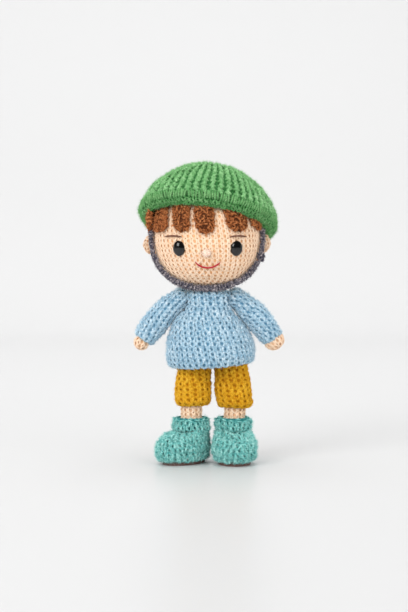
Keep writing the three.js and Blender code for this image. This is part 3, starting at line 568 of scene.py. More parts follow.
def guideObject(guides):  # a guide is its place, two directions and three scales
    mesh = bpy.data.meshes.new("guides")
    mesh.from_pydata(toScene([g[0] for g in guides]).tolist(), [], [])
    for index, label in enumerate(("across", "outward", "size"), 1):
        values = mesh.attributes.new(label, "FLOAT_VECTOR", "POINT")
        values.data.foreach_set("vector", np.array([g[index] for g in guides], np.float32).ravel())
    return addObject(mesh)


def crochet(guides, kind, yarn, seed, sizes):  # stitches over their guides, as one plain mesh
    thing = guideObject(guides)
    modifier = thing.modifiers.new("stitches", "NODES")
    modifier.node_group = stitchTrees[kind]
    values = {label: sizes[key] * unit for label, (key, unit) in stitchInputs.items()}
    values.update({"Seed": seed, "Material": yarns[yarn]})
    for item in modifier.node_group.interface.items_tree:
        if item.in_out == "INPUT" and item.name in values:
            modifier[item.identifier] = values[item.name]
    graph = bpy.context.evaluated_depsgraph_get()
    mesh = bpy.data.meshes.new_from_object(thing.evaluated_get(graph))
    bpy.data.objects.remove(thing)
    return addObject(mesh)


def meshObject(verts, faces, material):  # a smooth mesh
    mesh = bpy.data.meshes.new("part")
    mesh.from_pydata([tuple(v) for v in verts], [], faces)
    mesh.materials.append(material)
    mesh.validate()
    mesh.shade_smooth()
    return addObject(mesh)


def thin(grid, along, around):  # fewer rows and columns of a grid
    rows = np.unique(np.linspace(0, len(grid) - 1, along).round().astype(int))
    columns = np.linspace(0, grid.shape[1], around, endpoint=False).round().astype(int)
    return grid[rows][:, columns]


def bandFaces(rows, around, looped=False):  # the quads between rings; looped: also from last to first
    faces = []
    for i in range(rows if looped else rows - 1):
        n = (i + 1) % rows
        for j in range(around):
            k = (j + 1) % around
            faces.append((i * around + j, i * around + k, n * around + k, n * around + j))
    return faces


def solidSkin(grid, material):  # a closed mesh over a grid, with a point in the middle of each end
    nv, nu = grid.shape[:2]
    corners = np.array([*toScene(grid.reshape(-1, 3)), toScene(grid[0].mean(axis=0)), toScene(grid[-1].mean(axis=0))])
    faces = bandFaces(nv, nu)
    for j in range(nu):
        k = (j + 1) % nu
        faces += [(nv * nu, k, j), (nv * nu + 1, (nv - 1) * nu + j, (nv - 1) * nu + k)]
    fans = ((corners[f[0]], corners[a], corners[b]) for f in faces for a, b in zip(f[1:], f[2:]))
    if sum(np.dot(p, np.cross(q, r)) for p, q, r in fans) < 0:
        faces = [tuple(reversed(f)) for f in faces]
    return meshObject(corners, faces, material)


def closedSkin(grid, material, along=40, around=48, bore=None):  # bore: rings back inside
    grid = thin(grid, along, around)
    if bore is not None:
        grid = np.concatenate([grid, thin(bore, min(len(bore), 12), around)])
    return solidSkin(grid, material)


def shellSkin(outer, inner, material, along, around):  # a closed wall, outside then inside
    grid = np.concatenate([thin(outer, along, around), thin(inner, along, around)[::-1]])
    return meshObject(toScene(grid.reshape(-1, 3)), bandFaces(len(grid), around, looped=True), material)


def stitched(grid, yarn, seed, sizes, kind="v", keep=None, faces=(40, 48), hole=None, bore=None):
    # A form's skin, sunk below its stitches, and the stitches; the skin takes the yarn's hole colour, painted darker
    # as the shade in the holes, or the yarn that hole names
    knit = crochet(stitchGuides(grid, sizes, keep), kind, yarn, seed, sizes)
    return [closedSkin(moved(grid, -sizes["skin"]), yarns[hole or yarn + "Hole"], *faces, bore=bore), knit]


def dress(node, body, parts, kind="crochet"):  # joins the parts of a piece and hangs it on its body
    bpy.ops.object.select_all(action="DESELECT")
    for part in parts:
        part.select_set(True)
    piece = parts[0]
    bpy.context.view_layer.objects.active = piece
    if len(parts) > 1:
        bpy.ops.object.join()
    piece.name = piece.data.name = f"{node}_{kind}"
    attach(piece, body)
    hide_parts(node)


sides = (("right", -1), ("left", 1))

# Head

head = dict(centre=(-0.8, 0, 123), radii=(28.8, 27, 27.5), jaw=2.3, hairMargin=2.5)
headCentre = np.array(head["centre"], float)
headRadii = np.array(head["radii"], float)
headStitch = dict(
    plainStitch, width=3.15, height=2.75, yarn=1.06, loft=0.5, flat=0.6, sink=0.5, shift=0.1, lean=0.1,
    step=6, skin=0.75, bumps=(0.35, 9), fuzz=3.0, fuzzLength=1.0, fuzzRadius=0.04,
)
hair = dict(
    thick=2.6, gap=0.3, frontUp=20.4, templeY=-1.6, templeUp=16.6, earTopUp=4.2, capMargin=0.2,
    behindEarY=5, earBend=1, napeUp=-19.5, napeY=14, proud=1.5, skin=0.9,
)
strap = dict(
    radius=1.4, chinSwell=0.2, y=-4.5, slope=0.25, steps=160, knotAngle=70,
    knot=(2.1, 2, 2.7), core=0.6, curlsIn=0.7, curlRadius=1.5,
    curlsAt=(-20, 25, 70, 115, 160), hairEnds=38, hairFade=24, reach=60.0,
    halvings=30,
)


def headShare(away, radii):  # 1 on the head's skin: a ball above, and fuller in the jaw below
    x, y, z = (np.abs(np.asarray(away)[..., k] / radii[k]) for k in range(3))
    full = np.where(np.asarray(away)[..., 2] < 0, head["jaw"], 2.0)
    return np.sqrt((x**full + z**full) ** (2 / full) + y**2)


def headGrid(offset, steps=80):
    rays = ballGrid((0, 0, 0), headRadii + offset, steps)
    return headCentre + rays / headShare(rays, headRadii + offset)[..., None]


def facePoint(aside, up, offset):
    grown = headRadii + offset
    share = headShare((aside, 0, up), grown)
    return headCentre + (aside, -grown[1] * sqrt(max(1 - share**2, 0)), up)


def headNormal(p):
    n = (np.array(p) - headCentre) / headRadii**2
    return n / norm(n)


def aboveHead(p):  # about how far outside the head a point is
    away = np.array(p) - headCentre
    size = headShare(away, headRadii)
    return (size - 1) * norm(away) / size


def hairEdge(up):  # how far back the hair starts at a height
    if up > hair["templeUp"]:
        share = (up - hair["templeUp"]) / (hair["frontUp"] - hair["templeUp"])
        temple = hair["templeY"] + strap["slope"] * (hair["templeUp"] - hair["earTopUp"])
        return temple + (-headRadii[1] - temple) * share
    if up > hair["earTopUp"]:
        return hair["templeY"] + strap["slope"] * (up - hair["earTopUp"])
    if up < hair["napeUp"]:
        return 99.0
    share = (hair["earTopUp"] - up) / (hair["earTopUp"] - hair["napeUp"])
    low = (1 - share) ** 2 * hair["behindEarY"] + 2 * share * (1 - share) * (hair["behindEarY"] + hair["earBend"])
    return low + share**2 * hair["napeY"]


def inHair(p, margin):
    up = p[2] - headCentre[2]
    return p[1] > max(hairEdge(up), hairEdge(up - margin)) + margin


def makeHead():
    grid = uneven(headGrid(0), headStitch, 1)
    parts = stitched(grid, "skin", 11, headStitch, keep=lambda p, n: not inHair(p, head["hairMargin"]))
    dress("head", "head", parts)


makeHead()
print("head made")

# Face: nose, thread mouth and brows, safety eyes

nose = dict(x=-0.3, up=-7.9, radii=(2.6, 1.8, 2.2), out=0.6)
noseStitch = dict(
    plainStitch, width=1.5, height=1.0, yarn=0.45, loft=0.35, tilt=0.3, lean=0.5, sink=0.2, skin=0.35,
)
thread = dict(mouth=0.44, brow=0.46, lift=0.95, sides=8, end=0.45, taper=4.0)
mouth = dict(x=0.4, half=6.7, up=-12.8, drop=3.1)
brow = dict(x=-0.7, inner=12.9, outer=21.9, up=0.6, arch=0.5)
eye = dict(
    apart=15.25, x=0.4, up=-5.5, radii=(3.35, 2.2, 4.15), turnOut=0.3, turnDown=0.1, shank=1.1, foot=0.2,
    length=9,
)


def threadAlong(points, radius, material):
    points = np.array(points)
    n = len(points)
    taper = [min(1.0, thread["end"] + thread["taper"] * min(i, n - 1 - i) / (n - 1)) for i in range(n)]
    grid = sweptGrid(points, np.gradient(points, axis=0), headNormal, [(radius * t, radius * t) for t in taper])
    return solidSkin(grid[:, np.arange(0, roundSteps, roundSteps // thread["sides"])], material)


def makeNose():
    grid = ballGrid(facePoint(nose["x"], nose["up"], nose["out"]), nose["radii"], 24)
    look = {"kind": "bar", "keep": lambda p, n: aboveHead(p) > 0, "faces": (12, 16), "hole": "noseYarn"}
    dress("nose", "head", stitched(grid, "noseYarn", 21, noseStitch, **look))


def makeMouth():
    bend = (mouth["half"] ** 2 + mouth["drop"] ** 2) / (2 * mouth["drop"])
    sweep = asin(mouth["half"] / bend)
    smile = []
    for a in np.linspace(-sweep, sweep, 41):
        up = mouth["up"] + bend * (cos(sweep) - cos(a))
        smile.append(facePoint(mouth["x"] + bend * sin(a), up, thread["lift"]))
    dress("mouth", "head", [threadAlong(smile, thread["mouth"], mouthThread)], "thread_line")


def makeBrow(name, side):
    points = []
    for share in np.linspace(0, 1, 25):
        away = brow["inner"] + (brow["outer"] - brow["inner"]) * share
        up = brow["up"] + brow["arch"] * (1 - (2 * share - 1) ** 2)
        points.append(facePoint(brow["x"] + side * away, up, thread["lift"]))
    dress(f"eyebrow_{name}", "head", [threadAlong(points, thread["brow"], browThread)], "thread")


def makeEye(name, side):
    aim = Vector((side * eye["turnOut"], -1, -eye["turnDown"])).normalized()
    turn = np.array(Vector((0, -1, 0)).rotation_difference(aim).to_matrix())
    place = facePoint(eye["x"] + side * eye["apart"], eye["up"], 0)
    dome = thin(ballGrid((0, 0, 0), eye["radii"], 40), 40, 64)
    stem = np.array([[0, y, 0] for y in (eye["foot"], eye["length"])])
    shank = thin(sweptGrid(stem, [(0, 1, 0)] * 2, (1, 0, 0), [(eye["shank"], eye["shank"])] * 2), 2, 16)
    parts = [solidSkin(grid @ turn.T + place, eyeGloss) for grid in (dome, shank)]
    dress(f"eye_{name}", "head", parts, "glossy")


makeNose()
makeMouth()
for name, side in sides:
    makeBrow(name, side)
    makeEye(name, side)
print("face made")

# Strap: a chain of stitches round the face and over the crown, tied at the left cheek

strapStitch = dict(
    plainStitch, width=2.1, height=1.5, yarn=0.55, loft=0.5, shift=0.25, tilt=0.8, sink=0.4, skin=0.7,
    bumps=(0.5, 2), fuzz=6.0, fuzzRadius=0.06,
)


def strapPoint(angle, offset):
    lean = np.array((0, strap["slope"], 1.0))
    lean /= norm(lean)
    aim = np.array((sin(angle), 0, 0)) - lean * cos(angle)
    grown = headRadii + offset
    base = np.array((0, strap["y"], 0))
    low, high = 0.0, strap["reach"]
    for step in range(strap["halvings"]):
        middle = (low + high) / 2
        if headShare(base + aim * middle, grown) < 1:
            low = middle
        else:
            high = middle
    return headCentre + base + aim * low


def strapRadius(angle):
    return strap["radius"] * (1 + strap["chinSwell"] * max(cos(angle), 0))


def strapOffset(angle):
    away = abs(degrees(angle) % 360 - 180)
    t = min(max((away - strap["hairEnds"]) / strap["hairFade"], 0), 1)
    onHair = 1 - t * t * (3 - 2 * t)
    return strapRadius(angle) + hair["gap"] + (hair["thick"] + hair["gap"]) * onHair


def strapGuides(line, tangents, radii):  # a link of the chain is a ring of curls, all but behind
    lengths = np.concatenate([[0], np.cumsum(norm(np.diff(line, axis=0), axis=1))])
    links = int(lengths[-1] / strapStitch["height"])
    guides = []
    for n in range(links):
        where = lengths[-1] * (n + 0.5) / links
        p, along = (np.array([np.interp(where, lengths, rows[:, k]) for k in range(3)]) for rows in (line, tangents))
        along /= norm(along)
        radius = np.interp(where, lengths, radii)
        outward = p - headCentre
        outward -= along * outward.dot(along)
        outward /= norm(outward)
        front = np.cross(along, outward)
        if front[1] > 0:
            front = -front
        size = radius / strap["curlRadius"]
        for turn in map(radians, strap["curlsAt"]):
            way = front * cos(turn) + outward * sin(turn)
            guides.append((p + way * (radius - strap["curlsIn"]), np.cross(along, way), way, (size, 1, size)))
    return guides


def makeStrap():
    knotAngle = radians(strap["knotAngle"])
    half = (strap["knot"][2] + hair["gap"]) / (headRadii[0] + strap["radius"])
    turns = np.linspace(knotAngle + half, knotAngle + 2 * pi - half, strap["steps"])
    line = np.array([strapPoint(a, strapOffset(a)) for a in turns])
    tangents = np.gradient(line, axis=0)
    radii = np.array([strapRadius(a) for a in turns])
    flat = np.array((0, 1, -strap["slope"]))
    core = sweptGrid(line, tangents, flat, [(r, r) for r in radii - strap["core"]])
    skin = solidSkin(core[:, :: roundSteps // 12], yarns["strapHole"])
    knit = crochet(strapGuides(line, tangents, radii), "curl", "strap", 31, strapStitch)
    dress("chin_strap", "head", [skin, knit])

    centre = strapPoint(knotAngle, strap["knot"][0] + hair["gap"])
    grid = uneven(ballGrid(centre, strap["knot"], 24), strapStitch, 5)
    parts = stitched(grid, "strap", 32, strapStitch, "curl", faces=(12, 16))
    dress("chin_strap_knot", "head", parts)


makeStrap()
print("strap made")

# Beret, in a frame of its own that leans back and to the doll's left

beret = dict(
    place=(-1.1, 3.0, 127.2), leanBack=24.8, leanLeft=8, depthShare=0.95, sideRise=1.9, height=36.8,
    wall=3.0, brimRadius=35.0, brimWall=2.2, widest=38.0, widestZ=6.1, roundness=1.6, band=7.4, loopTop=6.0,
    columns=52, row=3.2, joinGap=0.3, edge=((2.2, 2.8), (0.6, 2.0), (-0.3, 1.0), (0.2, 0.1), (1.5, 0)),
    loopFoot=2.5, top=0.0008, reach=0.004,
)
crownStitch = dict(
    plainStitch, width=4.35, height=3.2, yarn=1.9, loft=1.0, flat=0.75, sink=1.1, shift=0.32, tilt=0.2,
    skin=1.3, bumps=(0.5, 12), fuzz=9.0, fuzzLength=1.8, fuzzRadius=0.06,
)
loopStitch = dict(
    crownStitch, width=2.9, height=3.7, yarn=0.82, loft=0.5, shift=0.4, tilt=0.25, lean=0.0, sink=0.45,
    skin=1.1,
)
rimStitch = dict(
    crownStitch, width=3.0, height=2.2, yarn=0.9, loft=0.5, shift=0.25, tilt=0.2, lean=0.1, sink=0.5,
)
leanLeft = Matrix.Rotation(radians(beret["leanLeft"]), 3, "Y")
leanBack = Matrix.Rotation(-radians(beret["leanBack"]), 3, "X")
beretTurn = np.array(leanLeft @ leanBack)


def fromBeret(points):
    return np.array(points) @ beretTurn.T + beret["place"]


def toBeret(points):
    return (np.array(points) - beret["place"]) @ beretTurn


def beretRadius(z, inset):
    if z <= beret["widestZ"]:
        low = beret["brimRadius"] - (beret["brimWall"] if inset else 0)
        share = max(z, 0) / beret["widestZ"]
        return low + (beret["widest"] - inset - low) * sin(share * pi / 2)
    share = (z - beret["widestZ"]) / (beret["height"] - inset - beret["widestZ"])
    return (beret["widest"] - inset) * sqrt(max(1 - share ** beret["roundness"], beret["top"]))


def beretGrid(low, high, inset, steps):
    rows = []
    for share in np.linspace(0, 1, steps):
        z = low + (high - low) * (sin(share * pi / 2) if high > beret["widestZ"] else share)
        r = beretRadius(z, inset)
        rise = beret["sideRise"] * np.cos(angles()) ** 2 * (1 - z / beret["height"])
        rows.append(oval((0, 0, z + rise), r, beret["depthShare"] * r))
    return fromBeret(rows)


def crownColumns(around):  # columns meet in pairs as the crown closes
    count = beret["columns"]
    while count > 4 and around / count < 0.5 * crownStitch["width"]:
        count = round(count / 2)
    return count


def makeBand():
    outer, inner = (beretGrid(0, beret["band"], inset, 24) for inset in (0, beret["wall"]))
    skin = shellSkin(moved(outer, -loopStitch["skin"]), inner, yarns["beretHole"], 8, 72)
    rim = np.array([beretGrid(z, z, inset, 1)[0] for z, inset in beret["edge"]])
    loops = beretGrid(beret["loopFoot"], beret["loopTop"], 0, 16)
    parts = [skin]
    # The rim and the loops take the brim yarn, painted shade
    for grid, kind, seed, sizes in ((rim, "v", 41, rimStitch), (loops, "loop", 42, loopStitch)):
        parts.append(crochet(stitchGuides(grid, sizes), kind, "brim", seed, sizes))
    dress("beret_band", "beret", parts)


def crownGuides(grid):
    lengths = lengthsUp(grid)
    rows = int(lengths[-1] / beret["row"])
    guides = []
    for row in range(rows):
        v = float(np.interp(lengths[-1] * (row + 0.5) / rows, lengths, np.arange(len(lengths))))
        around = girth(grid[int(v)])
        count = crownColumns(around)
        for n in range(count):
            u = (n + 0.5) / count + 0.25 - 0.5 / beret["columns"]
            p, across, outward = facing(grid, u, v, beret["reach"])
            outward /= norm(outward)
            size = (around / count / crownStitch["width"], 1, crownStitch["flat"])
            guides.append((p - outward * crownStitch["sink"], across, outward, size))
    return guides


def makeCrown():
    top, wall = beret["height"], beret["wall"]
    outer = uneven(beretGrid(beret["loopTop"], top, 0, 90), crownStitch, 8)
    inner = beretGrid(beret["band"] + beret["joinGap"], top - wall, wall, 40)
    rings = np.concatenate([thin(inner, 24, 72)[::-1], thin(moved(outer, -crownStitch["skin"]), 30, 72)])
    knit = crochet(crownGuides(outer), "rib", "beret", 43, crownStitch)
    dress("beret_crown", "beret", [solidSkin(rings, yarns["beretHole"]), knit])


makeBand()
makeCrown()
print("beret made")

# Ears, pressed down where the beret's brim passes over them

ear = dict(out=5.8, thick=2.6, tall=5.5, y=1.6, up=dict(left=-3.4, right=-4.2), gap=0.5, proud=0.3)
earStitch = dict(headStitch, width=2.7, height=2.3, yarn=0.8, loft=0.4, sink=0.4, skin=0.8)


def clearOfBeret(points, gap):
    inBeret = toBeret(points)
    rise = beret["sideRise"] * (inBeret[..., 0] / beret["brimRadius"]) ** 2
    inBeret[..., 2] = np.minimum(inBeret[..., 2], rise - gap)
    return fromBeret(inBeret)


def makeEars():
    for name, side in sides:
        centre = (headCentre[0] + side * headRadii[0], ear["y"], headCentre[2] + ear["up"][name])
        grid = clearOfBeret(ballGrid(centre, (ear["out"], ear["thick"], ear["tall"]), 48), ear["gap"])
        look = {"keep": lambda p, n: aboveHead(p) > ear["proud"], "faces": (24, 24)}
        parts = stitched(grid, "skin", 51 + side, earStitch, **look)
        dress(f"ear_{name}", "head", parts)


makeEars()
print("ears made")

# Hair: a cap of curled yarn, and five tongues over the forehead

curl = dict(
    plainStitch, width=1.8, height=1.5, yarn=0.52, loft=0.65, shift=0.3, tilt=1.2, lean=0.5, skin=0.5,
    bumps=(0.4, 3), fuzz=9.0, fuzzLength=1.6, fuzzRadius=0.06,
)
capCurl = dict(curl, width=2.5, height=2.1, yarn=0.7, fuzz=6.0, bumps=(0.5, 6))
bang = dict(
    thick=2.6, thin=0.3, lift=0.5, tuck=4, rows=40, seam=0.12, seamStep=3.0, seamShare=0.2, faceOut=0.05,
    tip=0.01, ease=1.6, limit=0.98,
)
bangs = (
    dict(top=-26.0, tip=-25.4, tipUp=3.1, width=8.8),
    dict(top=-14.3, tip=-13.2, tipUp=3.3, width=9.0),
    dict(top=-2.6, tip=-0.6, tipUp=2.4, width=10.4),
    dict(top=12.8, tip=16.9, tipUp=3.4, width=11.2),
    dict(top=26.4, tip=28.4, tipUp=4.2, width=9.2),
)
tufts = (  # hair that swells out at the temples, on the doll's right beyond the strap
    dict(centre=(-31.0, -5.6, 9.6), radii=(1.5, 4.6, 5.2)),
    dict(centre=(27.4, -6.5, 8.2), radii=(1.8, 4.0, 4.0)),
)


def makeHairCap():
    offset = hair["gap"] + hair["thick"]
    grid = uneven(headGrid(offset, 120), capCurl, 9)
    guides = stitchGuides(grid, capCurl, keep=lambda p, n: inHair(p, hair["capMargin"]))
    for tuft in tufts:
        guides += stitchGuides(ballGrid(headCentre + tuft["centre"], tuft["radii"], 24), capCurl)
    knit = crochet(guides, "curl", "hair", 61, capCurl)
    skin = addObject(frame["nodes"]["hair_cap"].data.copy())
    skin.data.materials.clear()
    skin.data.materials.append(yarns["hair"])
    centre = toScene(headCentre)
    for v in skin.data.vertices:
        away = np.array(v.co) - centre
        outside = aboveHead(np.array(v.co) / mm - (0, dollY / mm, 0))
        if outside > hair["proud"]:
            v.co = centre + away * (1 - hair["skin"] * mm / norm(away))
    dress("hair_cap", "head", [skin, knit])


def bangGrid(sizes):
    topUp = hair["frontUp"] + bang["tuck"]
    half = sizes["width"] / 2
    limit = headRadii[0] * bang["limit"]
    rows = []
    for share in 1 - (1 - np.linspace(0, 1, bang["rows"])) ** bang["ease"]:
        fromTip = (1 - share) * (topUp - sizes["tipUp"])
        rounded = sqrt(max(1 - (1 - min(fromTip / half, 1)) ** 2, bang["tip"]))
        up = topUp + (sizes["tipUp"] - topUp) * share
        aside = sizes["top"] + (sizes["tip"] - sizes["top"]) * share
        ring = []
        for a in angles():
            out = bang["lift"] + bang["thick"] * max(rounded, bang["thin"]) * max(sin(a), 0)
            wide = min(max(aside + half * rounded * cos(a), -limit), limit)
            ring.append(facePoint(wide, up, out))
        rows.append(ring)
    return np.array(rows)


def makeBangs():
    for n, sizes in enumerate(bangs, 1):

        def keep(p, normal):
            if normal.dot(headNormal(p)) < bang["faceOut"]:
                return False
            share = (p[2] - headCentre[2] - sizes["tipUp"]) / (hair["frontUp"] + bang["tuck"] - sizes["tipUp"])
            middle = headCentre[0] + sizes["tip"] + (sizes["top"] - sizes["tip"]) * share
            onSeam = abs(p[0] - middle) < bang["seam"] * sizes["width"] / 2
            return not (onSeam and sin(p[2] * 2 * pi / bang["seamStep"]) > bang["seamShare"])

        grid = uneven(bangGrid(sizes), curl, 70 + n)
        dress(f"bang_{n}", "head", stitched(grid, "hair", 70 + n, curl, "curl", keep, (24, 24)))


makeHairCap()
makeBangs()
print("hair made")

# Torso and sweater

torsoKeys = (
    (62.6, 10.4, 7.6), (65, 13.4, 10), (70, 13.9, 10.6), (78, 12.6, 10), (86, 9.8, 8.5), (90, 8.9, 7.7),
    (92, 8, 7.6),
)
neck = dict(
    top=101, radius=8, dowel=2.9, dowelFoot=78, rings=(93, 97), rim=0.6, boreEnd=0.3, knitFrom=93.5,
    skin=0.6, ease=0.8,
)
tunicKeys = (
    (53, 22, 19.3), (54.4, 23.1, 20.2), (58.5, 24.1, 21.1), (63.5, 24, 20.6), (69.2, 22.6, 19.2),
    (73.5, 20.5, 17.6), (78, 17.4, 15.4), (82, 13.7, 13.2), (86, 12.4, 11.7), (90.5, 12.5, 10.9),
    (93, 12.2, 10.3), (94.4, 10.6, 9.6),
)
tunic = dict(
    wall=2.2, drift=1.6, driftLow=55, driftHigh=80, collar=8.5, collarRings=(92.3, 94.3), liningTop=91.5,
    room=0.8, tilt=0.06, lift=0.3, swell=1.9, swellUp=78.8, swellSpan=5.2, swellX=12,
)
tunicStitch = dict(
    plainStitch, width=3.6, height=3.0, yarn=1.24, loft=0.65, flat=0.7, sink=0.8, shift=0.22, tilt=0.14,
    lean=0.1, step=6, skin=1.1, bumps=(0.45, 9), fuzz=5.0, fuzzLength=1.6, fuzzRadius=0.055,
)
sleeveStitch = dict(tunicStitch, width=3.4, height=2.9, yarn=1.2, step=1, skin=1.0, bumps=(0.4, 6))
shoulder = (15, 89.9)
shoulders = [(side * shoulder[0], 0, shoulder[1]) for side in (-1, 1)]
sleeveKeys = ((0, 5.6), (0.25, 6.3), (0.5, 7.1), (0.78, 6.9), (0.95, 6.2), (1, 5.6))
clearance = 0.45
sleeveRoom = sleeveKeys[0][1] + clearance


def driftAt(z):
    share = (z - tunic["driftLow"]) / (tunic["driftHigh"] - tunic["driftLow"])
    return tunic["drift"] * (1 - min(max(share, 0), 1))


def hemTilt(grid):  # the hem hangs a little lower on the doll's right
    fade = np.clip((tunic["driftHigh"] - grid[..., 2]) / (tunic["driftHigh"] - tunic["driftLow"]), 0, 1)
    lift = (tunic["lift"] + tunic["tilt"] * grid[..., 0]) * fade
    return grid + np.stack([np.zeros_like(lift), np.zeros_like(lift), lift], -1)


def clearOfBalls(points, centres, radius):  # moves points inside a ball out to its skin
    points = np.array(points)
    for centre in centres:
        away = points - centre
        distance = norm(away, axis=-1, keepdims=True)
        points = np.where(distance < radius, centre + away / np.maximum(distance, 1e-6) * radius, points)
    return points


def beyond(centres, radius):  # a test that keeps only the stitches farther out than this
    return lambda p, n: min(norm(p - np.array(centre)) for centre in centres) > radius


def neckRing(z, r):
    return oval((headCentre[0], 0, z), r, r)


def makeTorso():
    grid = keyedGrid(torsoKeys, 60)
    rings = [neckRing(z, neck["radius"]) for z in (*neck["rings"], neck["top"] - neck["rim"])]
    rings.append(neckRing(neck["top"], neck["radius"] - neck["ease"]))
    bore = [neckRing(z, neck["dowel"]) for z in (neck["top"], neck["dowelFoot"] - neck["boreEnd"])]
    grid = clearOfBalls(np.concatenate([grid, rings]), shoulders, sleeveRoom)
    collar = stitchGuides(grid[-9:-1], headStitch, keep=lambda p, n: p[2] > neck["knitFrom"])
    knit = crochet(collar, "v", "tunic", 81, headStitch)
    skin = closedSkin(moved(grid, -neck["skin"]), yarns["body"], bore=np.array(bore))
    dress("torso", "torso", [skin, knit], "stuffed")


def swollen(grid):  # the doll's right side fills out where the sleeve lies on it
    share = np.exp(-(((grid[..., 2] - tunic["swellUp"]) / tunic["swellSpan"]) ** 2))
    out = grid.copy()
    out[..., 0] -= tunic["swell"] * share * np.clip(-grid[..., 0] / tunic["swellX"], 0, 1)
    return out


def makeSweater():
    outer = uneven(swollen(hemTilt(keyedGrid(tunicKeys, 110, driftAt))), tunicStitch, 12)
    lining = [(z, *(half - tunic["wall"] for half in halves)) for z, *halves in tunicKeys if z < tunic["liningTop"]]
    inside = hemTilt(keyedGrid(lining, 60, driftAt))
    inside = np.concatenate([inside, [neckRing(z, tunic["collar"]) for z in tunic["collarRings"]]])
    walls = (clearOfBalls(grid, shoulders, sleeveRoom) for grid in (moved(outer, -tunicStitch["skin"]), inside))
    guides = stitchGuides(outer, tunicStitch, beyond(shoulders, sleeveKeys[0][1] + tunic["room"]))
    knit = crochet(guides, "v", "tunic", 82, tunicStitch)
    dress("sweater_body", "torso", [shellSkin(*walls, yarns["tunicHole"], 40, 60), knit])


makeTorso()
makeSweater()
print("sweater made")

# Arms: a stuffed arm inside a puffed sleeve, both round at the shoulder where they turn

arm = dict(
    line=((15, 89.9), (25.3, 82.5), (35.4, 67.4)), root=3.2, middle=3.9, wrist=2.7, sleeveWall=2.0,
    handEnd=176, cuffIn=0.3,
    hand=dict(
        left=dict(beyond=0.9, along=5.0, wide=5.5, deep=4.7),
        right=dict(beyond=2.4, along=3.8, wide=4.1, deep=3.6),
    ),
)
handStitch = dict(
    headStitch, width=2.8, height=2.5, yarn=0.84, loft=0.4, sink=0.4, step=1, skin=0.7, bumps=(0.25, 4),
)


def armPoint(side, t):
    a, b, c = (np.array((side * x, 0, z)) for x, z in arm["line"])
    return a * (1 - t) ** 2 + 2 * b * t * (1 - t) + c * t * t


def armTangent(side, t):
    a, b, c = (np.array((side * x, 0, z)) for x, z in arm["line"])
    way = (b - a) * (1 - t) + (c - b) * t
    return way / norm(way)


def limbGrid(side, radiusAt, steps):
    along = armTangent(side, 0)
    first = radiusAt(0)
    rows = [
        (armPoint(side, 0) - along * first * cos(a), along, first * sin(a))
        for a in np.linspace(capStart, pi / 2, 9)[:-1]
    ]
    rows += [(armPoint(side, t), armTangent(side, t), radiusAt(t)) for t in np.linspace(0, 1, steps)]
    centres, tangents, radii = zip(*rows)
    return sweptGrid(centres, tangents, (0, side, 0), [(r, r) for r in radii])


def sleeveRadius(t):
    return between(sleeveKeys, t)[0]


def makeSleeve(name, side):
    outer = uneven(limbGrid(side, sleeveRadius, 70), sleeveStitch, 14 + side)
    bore = limbGrid(side, lambda t: sleeveRadius(t) - arm["sleeveWall"], 24)[::-1]
    parts = stitched(outer, "tunic", 91 + side, sleeveStitch, faces=(30, 36), bore=bore)
    dress(f"sleeve_{name}", f"arm_{name}", parts)


def armRadius(t):
    swell = sin(pi * t) * (arm["middle"] - arm["root"])
    return arm["root"] + (arm["wrist"] - arm["root"]) * t + swell


def makeArm(name, side):
    end, along, palm = armPoint(side, 1), armTangent(side, 1), arm["hand"][name]
    turns = np.linspace(acos((palm["beyond"] - arm["cuffIn"]) / palm["along"]), radians(arm["handEnd"]), 40)
    centres = [end + along * (palm["beyond"] - palm["along"] * cos(a)) for a in turns]
    widths = [(palm["deep"] * sin(a), palm["wide"] * sin(a)) for a in turns]
    hand = uneven(sweptGrid(centres, [along] * len(turns), (0, side, 0), widths), handStitch, 17 + side)
    knit = crochet(stitchGuides(hand, handStitch), "v", "skin", 95 + side, handStitch)
    inside = thin(limbGrid(side, armRadius, 20), 12, 96)
    grid = np.concatenate([inside, thin(moved(hand, -handStitch["skin"]), 24, 96)])
    dress(f"arm_{name}", f"arm_{name}", [closedSkin(grid, yarns["limbHole"], 36, 32), knit])


for name, side in sides:
    makeSleeve(name, side)
    makeArm(name, side)
print("arms made")

# Shorts and legs

hip = dict(x=2, half=9.5, z=59)
shorts = dict(
    radius=9.0, wall=2.2, waistZ=74.5, waistFoot=62.8, waist=(16.3, 13), hipSkin=0.9, room=1.5, bulge=0.6,
    draw=0.4, thigh=((50, 0.0), (42, 0.6)), hem=((3, 0.6), (0.8, -0.3), (0, -1.4)),
    bore=((50, 0.0), (42, 0.2)), boreEnd=0.1,
)
shortsStitch = dict(
    plainStitch, width=4.4, height=2.8, yarn=1.58, loft=0.6, shift=0.2, tilt=0.14,
    lean=0.08, sink=0.7, flat=0.7, skin=1.1, bumps=(0.4, 6), fuzz=4.0,
)
legStitch = dict(
    headStitch, width=3.2, height=2.6, yarn=0.92, sink=0.5, flat=0.7, step=1, skin=1.0,
)
legs = (
    dict(name="right", side=-1, footX=-8.6, footZ=31.4, calfX=-9.2, ankleX=-9.4, toeOut=42),
    dict(name="left", side=1, footX=14.6, footZ=30.5, calfX=14.7, ankleX=13.6, toeOut=4),
)
leg = dict(
    root=6.5, knee=6.1, kneeZ=48, ankle=5.7, shinZ=35, calfZ=30, ankleTop=18,
    heel=((9, 0), (6.4, 0.9), (5.3, 2.4)), shown=(20, 50),
)


def downGrid(root, keys, steps):  # level rings from a round root on the hip; a key is x, z and radius
    x, z, r = root
    rows = [(x, z + r * cos(t), r * sin(t)) for t in np.linspace(capStart, pi / 2, 10)[:-1]]
    path = sorted([(z, x, r)] + [(height, px, pr) for px, height, pr in keys])
    for height in np.linspace(z, path[0][0], steps):
        px, pr = between(path, height)
        rows.append((px, height, pr))
    return np.array([oval((px, 0, pz), pr, pr) for px, pz, pr in rows])[::-1]


